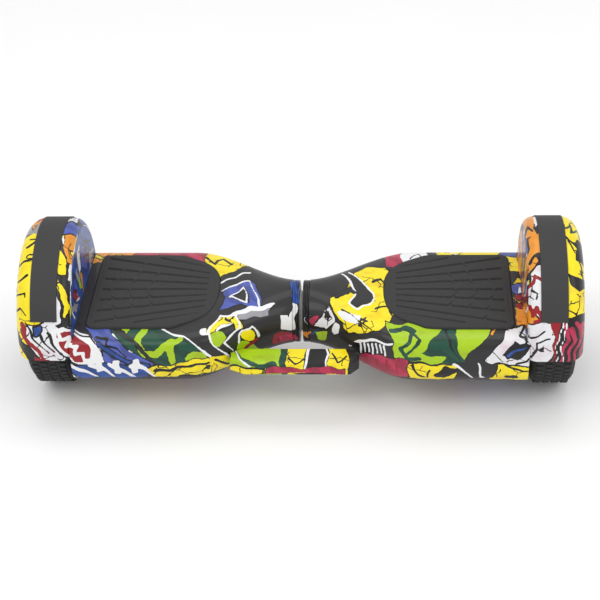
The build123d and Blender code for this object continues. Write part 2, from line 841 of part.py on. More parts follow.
coil_radius = yoke_radius + 1.5 + coil_length / 2
with BuildPart() as windings:
    with BuildSketch(x_plane(wheel_x - stator_width / 2 - coil_overhang, axle_z)):
        with PolarLocations(coil_radius, stator_teeth):
            Rectangle(coil_length, tooth_width + 2 * coil_thickness)
    extrude(amount=stator_width + 2 * coil_overhang)
    with BuildSketch(x_plane(wheel_x - stator_width / 2 - 0.05, axle_z)):
        with PolarLocations(coil_radius, stator_teeth):
            Rectangle(coil_length + 2, tooth_width + 0.1)
    extrude(amount=stator_width + 0.1, mode=Mode.SUBTRACT)
write_pair("windings", windings.part)


# ---------------------------------------------------------------- twist joint


def pivot_ring(start, length, outer, inner):
    """A ring about the twist axis."""
    with BuildPart() as ring:
        with BuildSketch(x_plane(start, seam_height)):
            Circle(outer)
            Circle(inner, mode=Mode.SUBTRACT)
        extrude(amount=length)
    return ring.part


bush_bore = tube_radius + running_clearance
with BuildPart() as pivot_bushes:
    add(pivot_ring(housing_start, bush_length, bush_radius, bush_bore))
    add(pivot_ring(housing_start - bush_flange, bush_flange, bush_radius + 3, bush_bore))
    add(pivot_ring(housing_end - bush_length, bush_length, bush_radius, bush_bore))
    add(pivot_ring(housing_end, bush_flange, bush_radius + 3, bush_bore))
write_pair("pivot_bushes", pivot_bushes.part)

slot_half_width = tube_radius * math.sin(math.radians(twist_limit + 1)) + stop_bolt_radius
with BuildPart() as pivot_tube:
    add(pivot_ring(-tube_half_length, 2 * tube_half_length, tube_radius, tube_radius - tube_wall))
    for side in (-1, 1):
        start = side * (clip_x + clip_thickness / 2) - clip_thickness / 2
        groove = pivot_ring(start, clip_thickness, tube_radius + 1, tube_radius - clip_groove_depth)
        add(groove, mode=Mode.SUBTRACT)
    with Locations((stop_bolt_x, 0, seam_height - tube_radius + tube_wall / 2)):
        Box(2 * stop_bolt_radius + 0.2, 2 * slot_half_width, 3 * tube_wall, mode=Mode.SUBTRACT)
    add(
        posts([(-stop_bolt_x, 0)], stop_bolt_radius + 0.05, seam_height - tube_radius - 1, seam_height),
        mode=Mode.SUBTRACT,
    )
write("pivot_tube", pivot_tube.part)

with BuildPart() as tube_clips:
    for side in (-1, 1):
        start = side * (clip_x + clip_thickness / 2) - clip_thickness / 2 + 0.05
        groove_floor = tube_radius - clip_groove_depth
        add(pivot_ring(start, clip_thickness - 0.1, tube_radius + clip_height, groove_floor))
        with Locations((start, 0, seam_height + tube_radius)):
            Box(8, 7, 14, mode=Mode.SUBTRACT)
write("tube_clips", tube_clips.part)

washer_half = housing_start - bush_flange - 0.1
write("thrust_washer", pivot_ring(-washer_half, 2 * washer_half, bush_radius + 2, bush_bore))

with BuildPart() as stop_bolt:
    tip = seam_height - tube_radius + tube_wall - 0.4
    add(posts([(stop_bolt_x, 0)], stop_bolt_radius, housing_bottom - 1, tip))
    add(posts([(stop_bolt_x, 0)], stop_bolt_radius + 2.2, housing_bottom - 4, housing_bottom))
write("twist_stop_bolt", stop_bolt.part)
write("tube_lock_bolt", mirror(stop_bolt.part, about=Plane.YZ))

with BuildPart() as harness_cable:
    with BuildSketch(x_plane(-cable_half_length, seam_height)):
        Circle(cable_radius)
    extrude(amount=2 * cable_half_length)
    for side in (-1, 1):
        with Locations((side * (cable_half_length + plug_length / 2 - 1), 0, seam_height)):
            Box(plug_length, 14, 9)
write("harness_cable", harness_cable.part)

with BuildPart() as tube_grommets:
    for start in (-tube_half_length, tube_half_length - 8.0):
        add(pivot_ring(start, 8.0, tube_radius - tube_wall, cable_radius))
write("tube_grommets", tube_grommets.part)


# ---------------------------------------------------------------- electronics


with BuildPart() as battery_pack:
    with Locations((battery_x, 0, battery_bottom + battery_height / 2)):
        Box(battery_length, battery_width, battery_height)
    fillet(battery_pack.edges().filter_by(Axis.X), 6)
write("battery_pack", battery_pack.part)

with BuildPart() as battery_bracket:
    sling = Plane(origin=(battery_x - bracket_width / 2, 0, 0), x_dir=(0, 1, 0), z_dir=(1, 0, 0))
    low = battery_bottom - 0.2
    with BuildSketch(sling):
        with BuildLine():
            Polyline(
                (bracket_y + bracket_flange, plate_bottom),
                (bracket_y + bracket_flange, plate_bottom - bracket_wall),
                (bracket_y + bracket_wall, plate_bottom - bracket_wall),
                (bracket_y + bracket_wall, low - bracket_wall),
                (-bracket_y - bracket_wall, low - bracket_wall),
                (-bracket_y - bracket_wall, plate_bottom - bracket_wall),
                (-bracket_y - bracket_flange, plate_bottom - bracket_wall),
                (-bracket_y - bracket_flange, plate_bottom),
                (-bracket_y, plate_bottom),
                (-bracket_y, low),
                (bracket_y, low),
                (bracket_y, plate_bottom),
                close=True,
            )
        make_face()
    extrude(amount=bracket_width)
    add(
        posts(bracket_screw_places, bracket_screw_radius + 0.1, plate_bottom - 5, plate_bottom + 1),
        mode=Mode.SUBTRACT,
    )
    add(posts(boss_places, boss_radius + 0.5, plate_bottom - 3, plate_bottom + 1), mode=Mode.SUBTRACT)
write("battery_bracket", battery_bracket.part)

with BuildPart() as bracket_screws:
    seat = plate_bottom - bracket_wall
    add(posts(bracket_screw_places, bracket_screw_radius, seat - 1, plate_top - 0.8))
    add(posts(bracket_screw_places, bracket_screw_radius + 1.1, seat - 2, seat))
write("battery_bracket_screws", bracket_screws.part)

with BuildPart() as main_board:
    with Locations((-main_board_x, 0, board_bottom + board_thickness / 2)):
        Box(main_board_length, main_board_width, board_thickness)
    with Locations((-main_board_x + 20, 20, board_bottom - 8), (-main_board_x + 20, -2, board_bottom - 8)):
        Cylinder(8, 17)
    for i in range(4):
        with Locations((-main_board_x - 36 + 24 * i, -38, board_bottom - 4)):
            Box(14, 8, 9)
write("main_board", main_board.part)

with BuildPart() as board_heat_sink:
    with Locations((-main_board_x - 20, 12, board_bottom - 1.5)):
        Box(40, 50, 3.0)
    for i in range(7):
        with Locations((-main_board_x - 20, 12 - 24 + 8 * i, board_bottom - 8)):
            Box(40, 2.0, 11)
write("board_heat_sink", board_heat_sink.part)


# ---------------------------------------------------------------- handle


def handle_edge(x):
    """How far out the handle's inner edge lies at x, clear of the right half's waist."""
    return max(handle_inner_y, section_size(x, 0, up=False)[0] + handle_clearance)


with BuildPart() as handle:
    with BuildSketch(Plane.XY.offset(handle_bottom)):
        with BuildLine():
            Polyline(
                (handle_left_x, -handle_inner_y),
                (handle_bend_x, -handle_inner_y),
                (handle_bend_x + 12, -handle_edge(handle_bend_x + 12)),
                (handle_right_x, -handle_edge(handle_right_x)),
                (handle_right_x, -handle_edge(handle_right_x) - handle_tip_width),
                (handle_right_x - handle_tip_length, -handle_front_y),
                (handle_left_x + handle_tip_length + 6, -handle_front_y),
                (handle_left_x, -handle_front_y + 8),
                close=True,
            )
        make_face()
    extrude(amount=handle_thickness)
    upright = handle.edges().filter_by(Axis.Z)
    corners = upright.filter_by_position(Axis.X, handle_left_x + 1, handle_right_x + 1)
    fillet(corners, 3.5)
    chamfer(handle.faces().sort_by(Axis.Z)[-1].edges().sort_by(Axis.Y)[0:1], 2.5)
    with BuildPart(mode=Mode.PRIVATE) as seat_block:
        add(mirror(body_block(shell_start, fender_x, -0.12, up=False), about=Plane.YZ))
    add(seat_block.part, mode=Mode.SUBTRACT)
    with Locations((-tongue_x, tongue_y, tongue_z)):
        Box(tongue_length, tongue_depth, tongue_thickness)
    add(
        mirror(
            posts(handle_screw_places, screw_radius + 0.1, handle_bottom, handle_top + 5),
            about=Plane.YZ,
        ),
        mode=Mode.SUBTRACT,
    )
write("handle", handle.part)

with BuildPart() as handle_screws:
    seat = tongue_z - tongue_thickness / 2
    add(posts(handle_screw_places, screw_radius, seat - 1, plate_top - 2))
    add(posts(handle_screw_places, screw_head_radius, seat - screw_head_height, seat))
write("handle_screws", mirror(handle_screws.part, about=Plane.YZ))


# ---------------------------------------------------------------- lamps, switch and port


with BuildPart() as lamp_lens:
    add(lamp_prism(0, lamp_back_y, deck_half_depth + 10))
    add(outer_lower, mode=Mode.INTERSECT)
write_pair("lamp_lens", lamp_lens.part)

with BuildPart() as charge_socket:
    add(side_cylinder(socket_x, socket_radius, panel_floor_y - socket_depth, panel_floor_y + 0.5))
    add(side_cylinder(socket_x, socket_collar, panel_floor_y, panel_floor_y + 1.5))
    add(
        side_cylinder(socket_x, socket_bore, panel_floor_y - socket_depth + 1.5, panel_floor_y + 2),
        mode=Mode.SUBTRACT,
    )
    for i in range(3):
        turn = math.radians(90 + 120 * i)
        with Locations(
            (
                socket_x + 2.4 * math.cos(turn),
                panel_floor_y - socket_depth + 3.0,
                face_height + 2.4 * math.sin(turn),
            )
        ):
            Cylinder(0.8, 5.0, rotation=(90, 0, 0))
    for side in (-1, 1):
        with Locations((socket_x + side * 5.2, panel_floor_y + 1.9, face_height + cap_hinge_rise)):
            Box(2.0, 3.8, 3.4)
    with Locations((socket_x, panel_floor_y + 2.4, face_height + cap_hinge_rise)):
        Cylinder(cap_pin_radius, 11.0, rotation=(0, 90, 0))
write("charge_socket", charge_socket.part)

with BuildPart() as port_cap:
    face = panel_floor_y + 1.6
    add(side_cylinder(socket_x, cap_radius, face, face + cap_thickness))
    add(side_cylinder(socket_x, socket_bore - 0.7, face - 2.0, face + 0.5))
    with Locations((socket_x, face + cap_thickness / 2, face_height + cap_hinge_rise - 2.0)):
        Box(7.6, cap_thickness, 4.0)
    with Locations((socket_x, panel_floor_y + 2.4, face_height + cap_hinge_rise)):
        Cylinder(1.5, 7.6, rotation=(0, 90, 0))
    with Locations((socket_x, panel_floor_y + 2.4, face_height + cap_hinge_rise)):
        Cylinder(cap_pin_radius + running_clearance, 9.0, rotation=(0, 90, 0), mode=Mode.SUBTRACT)
write("charge_port_cap", port_cap.part)

rear_face = panel_floor_y - shell_wall
with BuildPart() as power_button:
    add(side_cylinder(button_x, button_radius, rear_face - 0.5, panel_floor_y + button_proud))
    add(side_cylinder(button_x, button_flange, rear_face - 1.8, rear_face - 0.2))
write("power_button", power_button.part)

with BuildPart() as button_housing:
    add(side_cylinder(button_x, button_housing_radius, rear_face - 5.7, rear_face))
    add(side_cylinder(button_x, button_flange + 0.3, rear_face - 4.4, rear_face + 1), mode=Mode.SUBTRACT)
write("button_housing", button_housing.part)
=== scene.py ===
"""Looks of a two-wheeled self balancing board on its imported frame.

Every visible piece is built or dressed here: printed shells, grooved foot pads, treaded
tyres, bumper strips, hub covers and screws. Lengths in the classes are in millimetres and
meshes are in metres, with +X along the board, the handle on the -Y side and +Z up.
"""

import json
import logging
import math
from dataclasses import dataclass, field
from enum import Enum, IntEnum

import bmesh
import bpy
import numpy as np
from mathutils import Matrix, Vector

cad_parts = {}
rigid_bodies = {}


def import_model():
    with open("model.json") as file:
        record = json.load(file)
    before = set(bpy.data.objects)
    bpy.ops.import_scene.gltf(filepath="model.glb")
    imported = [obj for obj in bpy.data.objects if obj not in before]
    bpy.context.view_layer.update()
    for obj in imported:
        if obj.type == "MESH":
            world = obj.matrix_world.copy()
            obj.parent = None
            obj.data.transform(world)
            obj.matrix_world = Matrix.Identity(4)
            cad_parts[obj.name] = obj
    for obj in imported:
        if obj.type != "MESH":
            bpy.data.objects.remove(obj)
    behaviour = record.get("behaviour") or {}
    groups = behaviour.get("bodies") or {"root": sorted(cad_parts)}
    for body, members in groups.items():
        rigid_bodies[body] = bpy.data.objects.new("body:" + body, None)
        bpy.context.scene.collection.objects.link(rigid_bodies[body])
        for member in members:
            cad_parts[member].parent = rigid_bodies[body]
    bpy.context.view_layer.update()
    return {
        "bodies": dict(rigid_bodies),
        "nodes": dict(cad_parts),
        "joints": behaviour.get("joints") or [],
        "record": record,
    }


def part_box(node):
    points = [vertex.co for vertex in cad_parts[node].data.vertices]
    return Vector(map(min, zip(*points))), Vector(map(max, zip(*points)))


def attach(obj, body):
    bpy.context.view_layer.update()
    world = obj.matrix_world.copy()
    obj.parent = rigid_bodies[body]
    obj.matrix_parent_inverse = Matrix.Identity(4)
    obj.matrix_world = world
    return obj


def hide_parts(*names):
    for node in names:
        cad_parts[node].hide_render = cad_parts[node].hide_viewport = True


LOG = logging.getLogger("board")
MM = 0.001
SLANT = math.radians(33.0)
WELD = 1e-6
SMALL_STEP = 1.8
FAR = 40.0
Colour = tuple[float, float, float]
Point = tuple[float, float]


# ------------------------------------------------------------------ shader helpers


class Shade:
    """Writes one material's node tree in short steps."""

    def __init__(self, name: str) -> None:
        """Starts a new material.

        Args:
            name: the material's name.
        """
        self.material = bpy.data.materials.new(name)
        self.material.use_nodes = True
        self.tree = self.material.node_tree
        self.bsdf = self.tree.nodes["Principled BSDF"]

    def node(self, kind: str, **values: object) -> bpy.types.Node:
        """Adds a node.

        Args:
            kind: the node's type name.
            values: attributes, or sockets by name with spaces as underscores.

        Returns:
            The new node.
        """
        made = self.tree.nodes.new(kind)
        for key, value in values.items():
            if hasattr(made, key):
                setattr(made, key, value)
            else:
                made.inputs[key.replace("_", " ")].default_value = value
        return made

    def link(self, source: bpy.types.NodeSocket, target: bpy.types.NodeSocket) -> None:
        """Joins two sockets."""
        self.tree.links.new(source, target)

    def math(self, what: str, a: object, b: object = 0.0, clamp: bool = False) -> bpy.types.NodeSocket:
        """Adds a math node.

        Args:
            what: the operation's name.
            a: the first value or socket.
            b: the second value or socket.
            clamp: whether to keep the result between 0 and 1.

        Returns:
            The result's socket.
        """
        made = self.node("ShaderNodeMath", operation=what, use_clamp=clamp)
        for slot, value in zip(made.inputs, (a, b)):
            if isinstance(value, bpy.types.NodeSocket):
                self.link(value, slot)
            else:
                slot.default_value = value
        return made.outputs[0]

    def mix(self, share: object, a: object, b: object) -> bpy.types.NodeSocket:
        """Mixes two colours.

        Args:
            share: how much of the second colour shows, a value or a socket.
            a: the first colour or socket.
            b: the second colour or socket.

        Returns:
            The mixed colour's socket.
        """
        made = self.node("ShaderNodeMix", data_type="RGBA")
        for slot, value in ((made.inputs[0], share), (made.inputs[6], a), (made.inputs[7], b)):
            if isinstance(value, bpy.types.NodeSocket):
                self.link(value, slot)
            elif isinstance(value, (int, float)):
                slot.default_value = value
            else:
                slot.default_value = (*value, 1.0)
        return made.outputs[2]

    def place(self, size: Point | tuple[float, float, float] = (1.0, 1.0, 1.0)) -> bpy.types.NodeSocket:
        """Gives the object's own coordinates, stretched by a size.

        Args:
            size: the stretch along each axis.

        Returns:
            The coordinates' socket.
        """
        where = self.node("ShaderNodeTexCoord")
        stretch = self.node("ShaderNodeMapping")
        stretch.inputs["Scale"].default_value = size
        self.link(where.outputs["Object"], stretch.inputs["Vector"])
        return stretch.outputs[0]

    def noise(self, scale: float, detail: float = 3.0, where: object = None) -> bpy.types.NodeSocket:
        """Adds a noise texture.

        Args:
            scale: how many lumps there are in a metre.
            detail: how many finer layers there are.
            where: a coordinate socket, or None for the object's own.

        Returns:
            The noise value's socket.
        """
        made = self.node("ShaderNodeTexNoise", Scale=scale, Detail=detail)
        self.link(where or self.place(), made.inputs["Vector"])
        return made.outputs["Fac"]

    def ramp(
        self, value: bpy.types.NodeSocket, low: float, high: float, a: float, b: float
    ) -> bpy.types.NodeSocket:
        """Maps a value from one range to another, clamped.

        Args:
            value: the socket to map.
            low: where the old range starts.
            high: where the old range ends.
            a: the result at the start.
            b: the result at the end.

        Returns:
            The result's socket.
        """
        made = self.node("ShaderNodeMapRange")
        made.clamp = True
        self.link(value, made.inputs[0])
        for slot, number in zip(made.inputs[1:5], (low, high, a, b)):
            slot.default_value = number
        return made.outputs[0]

    def bump(self, height: bpy.types.NodeSocket, depth: float, strength: float = 1.0) -> None:
        """Feeds a height into the surface's normal.

        Args:
            height: the height's socket.
            depth: how deep the relief is, in metres.
            strength: how much of it shows.
        """
        made = self.node("ShaderNodeBump", Strength=strength, Distance=depth)
        self.link(height, made.inputs["Height"])
        self.link(made.outputs[0], self.bsdf.inputs["Normal"])

    def surface(self, **values: float) -> None:
        """Sets the surface's own sockets, named with underscores for spaces."""
        for key, value in values.items():
            self.bsdf.inputs[key.replace("_", " ")].default_value = value


class Grain(Enum):
    """What a plain finish's fine relief looks like."""

    CAST = "cast"
    TURNED = "turned"
    MOULDED = "moulded"
    WOUND = "wound"


@dataclass(frozen=True)
class Finish:
    """A plain finish: one colour with small variation, roughness and a fine relief."""

    name: str
    colour: Colour
    rough: float = 0.5
    metal: float = 0.0
    grain: Grain = Grain.MOULDED
    scale: float = 900.0
    depth: float = 0.00006
    coat: float = 0.0

    def material(self) -> bpy.types.Material:
        """Builds the finish's material once and returns it."""
        known = bpy.data.materials.get(self.name)
        if known:
            return known
        shade = Shade(self.name)
        stretch = {
            Grain.CAST: (1.0, 1.0, 1.0),
            Grain.TURNED: (9.0, 1.0, 1.0),
            Grain.MOULDED: (1.0, 1.0, 1.0),
            Grain.WOUND: (8.0, 1.0, 1.0),
        }[self.grain]
        broad = shade.noise(35.0, 2.0)
        fine = shade.noise(self.scale, 3.0, shade.place(stretch))
        dark = tuple(c * 0.78 for c in self.colour)
        light = tuple(min(c * 1.15 + 0.003, 1.0) for c in self.colour)
        shade.link(shade.mix(broad, dark, light), shade.bsdf.inputs["Base Color"])
        spread = shade.math("MULTIPLY_ADD", fine, 0.16)
        spread.node.inputs[2].default_value = self.rough - 0.08
        shade.link(spread, shade.bsdf.inputs["Roughness"])
        shade.surface(Metallic=self.metal, Coat_Weight=self.coat, Coat_Roughness=0.1)
        shade.bump(fine, self.depth, 0.6)
        return shade.material


# ------------------------------------------------------------------ artwork


class Ink(IntEnum):
    """The print's inks, in the order in which they are laid on."""

    CHARCOAL = 0
    YELLOW = 1
    CRIMSON = 2
    ORANGE = 3
    BLUE = 4
    LIME = 5
    WHITE = 6
    DARK_GREEN = 7
    SKY = 8
    WINE = 9
    GREY = 10
    BLACK = 11
    PAPER = 12


INKS: dict[Ink, Colour] = {
    Ink.CHARCOAL: (0.016, 0.015, 0.016),
    Ink.YELLOW: (0.88, 0.72, 0.004),
    Ink.CRIMSON: (0.46, 0.022, 0.075),
    Ink.ORANGE: (0.76, 0.29, 0.018),
    Ink.BLUE: (0.018, 0.075, 0.34),
    Ink.LIME: (0.36, 0.56, 0.004),
    Ink.WHITE: (0.74, 0.74, 0.76),
    Ink.DARK_GREEN: (0.004, 0.062, 0.034),
    Ink.SKY: (0.07, 0.105, 0.42),
    Ink.WINE: (0.29, 0.006, 0.012),
    Ink.GREY: (0.30, 0.30, 0.32),
    Ink.BLACK: (0.004, 0.004, 0.005),
    Ink.PAPER: (0.80, 0.80, 0.81),
}
OUTLINED: dict[Ink, float] = {
    Ink.YELLOW: 0.7,
    Ink.CRIMSON: 0.35,
    Ink.BLUE: 0.6,
    Ink.LIME: 0.4,
    Ink.WHITE: 0.8,
    Ink.SKY: 0.7,
    Ink.ORANGE: 0.5,
}


MOTTLED = (*OUTLINED, Ink.GREY)
CRACKED = (Ink.YELLOW, Ink.WHITE, Ink.ORANGE)
STREAKED = (Ink.CRIMSON, Ink.BLUE, Ink.SKY, Ink.DARK_GREEN)


@dataclass(frozen=True)
class Patch:
    """A filled outline of one ink, with its corners drawn as given or rounded off."""

    ink: Ink
    points: tuple[Point, ...]
    soft: int = 1

    def outline(self) -> np.ndarray:
        """Returns the closed outline, with corners cut as often as asked."""
        line = np.array(self.points, float)
        for _ in range(self.soft):
            after = np.roll(line, -1, axis=0)
            line = np.stack([line * 0.78 + after * 0.22, line * 0.22 + after * 0.78], axis=1).reshape(-1, 2)
        return line

    def height(self, u: np.ndarray, q: np.ndarray) -> np.ndarray:
        """Signed distance to the outline, positive inside.

        Args:
            u: places along the board.
            q: places up the print.

        Returns:
            One distance for each place, in millimetres.
        """
        line = self.outline()
        best = np.full(u.shape, 1e9)
        inside = np.zeros(u.shape, bool)
        for a, b in zip(line, np.roll(line, -1, axis=0)):
            d = b - a
            t = np.clip(((u - a[0]) * d[0] + (q - a[1]) * d[1]) / max(d @ d, 1e-9), 0, 1)
            best = np.minimum(best, np.hypot(u - a[0] - t * d[0], q - a[1] - t * d[1]))
            if a[1] != b[1]:
                crosses = (a[1] > q) != (b[1] > q)
                inside ^= crosses & (u < a[0] + (q - a[1]) * d[0] / d[1])
        return np.where(inside, best, -best)


@dataclass(frozen=True)
class Stroke:
    """A brush stroke of one ink along a line, thick at its start and thin at its end."""

    ink: Ink
    points: tuple[Point, ...]
    start: float = 1.2
    end: float = 0.8

    def height(self, u: np.ndarray, q: np.ndarray) -> np.ndarray:
        """Signed distance to the stroke's edge, positive inside.

        Args:
            u: places along the board.
            q: places up the print.

        Returns:
            One distance for each place, in millimetres.
        """
        best = np.full(u.shape, -1e9)
        count = len(self.points) - 1
        for i, (a, b) in enumerate(zip(self.points, self.points[1:])):
            dx, dy = b[0] - a[0], b[1] - a[1]
            t = np.clip(((u - a[0]) * dx + (q - a[1]) * dy) / max(dx * dx + dy * dy, 1e-9), 0, 1)
            width = self.start + (self.end - self.start) * (i + t) / count
            best = np.maximum(best, width - np.hypot(u - a[0] - t * dx, q - a[1] - t * dy))
        return best


def blob(ink: Ink, x: float, y: float, rx: float, ry: float, lobes: int = 5, turn: float = 0.0) -> Patch:
    """A rounded splash with lobes.

    Args:
        ink: the splash's ink.
        x: its centre along the board.
        y: its centre up the print.
        rx: half its length.
        ry: half its height.
        lobes: how many lobes it has.
        turn: where its lobes start, in radians.

    Returns:
        The splash as a patch.
    """
    ring = []
    for i in range(lobes * 4):
        a = 2 * math.pi * i / (lobes * 4)
        r = 1 + 0.22 * math.sin(lobes * a + turn) + 0.08 * math.sin(2 * a + turn * 1.7)
        ring.append((x + rx * r * math.cos(a), y + ry * r * math.sin(a)))
    return Patch(ink, tuple(ring), 1)


def zigzag(
    ink: Ink, x: float, y: float, to_x: float, to_y: float, swing: float, teeth: int, width: float
) -> Stroke:
    """A zigzag stroke between two places.

    Args:
        ink: the stroke's ink.
        x: where it starts along the board.
        y: where it starts up the print.
        to_x: where it ends along the board.
        to_y: where it ends up the print.
        swing: how far it swings to each side.
        teeth: how many turns it makes.
        width: half its thickness at the start.

    Returns:
        The zigzag as a stroke.
    """
    length = math.hypot(to_x - x, to_y - y)
    nx, ny = -(to_y - y) / length, (to_x - x) / length
    line = []
    for i in range(teeth + 1):
        t, side = i / teeth, (-1) ** i * swing
        line.append((x + (to_x - x) * t + nx * side, y + (to_y - y) * t + ny * side))
    return Stroke(ink, tuple(line), width, width * 0.8)


def box(ink: Ink, x0: float, y0: float, x1: float, y1: float, lean: float = 0.0, soft: int = 0) -> Patch:
    """A leaning four-sided patch.

    Args:
        ink: the patch's ink.
        x0: its left side.
        y0: its bottom.
        x1: its right side.
        y1: its top.
        lean: how far its top is pushed along the board.
        soft: how often its corners are cut.

    Returns:
        The patch.
    """
    return Patch(ink, ((x0, y0), (x1, y0), (x1 + lean, y1), (x0 + lean, y1)), soft)


def burst(ink: Ink, x: float, y: float, rx: float, ry: float, spikes: int, turn: float = 0.3) -> Patch:
    """A spiky star-like splash.

    Args:
        ink: the splash's ink.
        x: its centre along the board.
        y: its centre up the print.
        rx: half its length.
        ry: half its height.
        spikes: how many points it has.
        turn: where its points start, in radians.

    Returns:
        The splash as a patch.
    """
    ring = []
    for i in range(spikes * 2):
        a = turn + math.pi * i / spikes
        r = 1.0 if i % 2 else 0.52 + 0.12 * math.sin(3 * i)
        ring.append((x + rx * r * math.cos(a), y + ry * r * math.sin(a)))
    return Patch(ink, tuple(ring), 0)


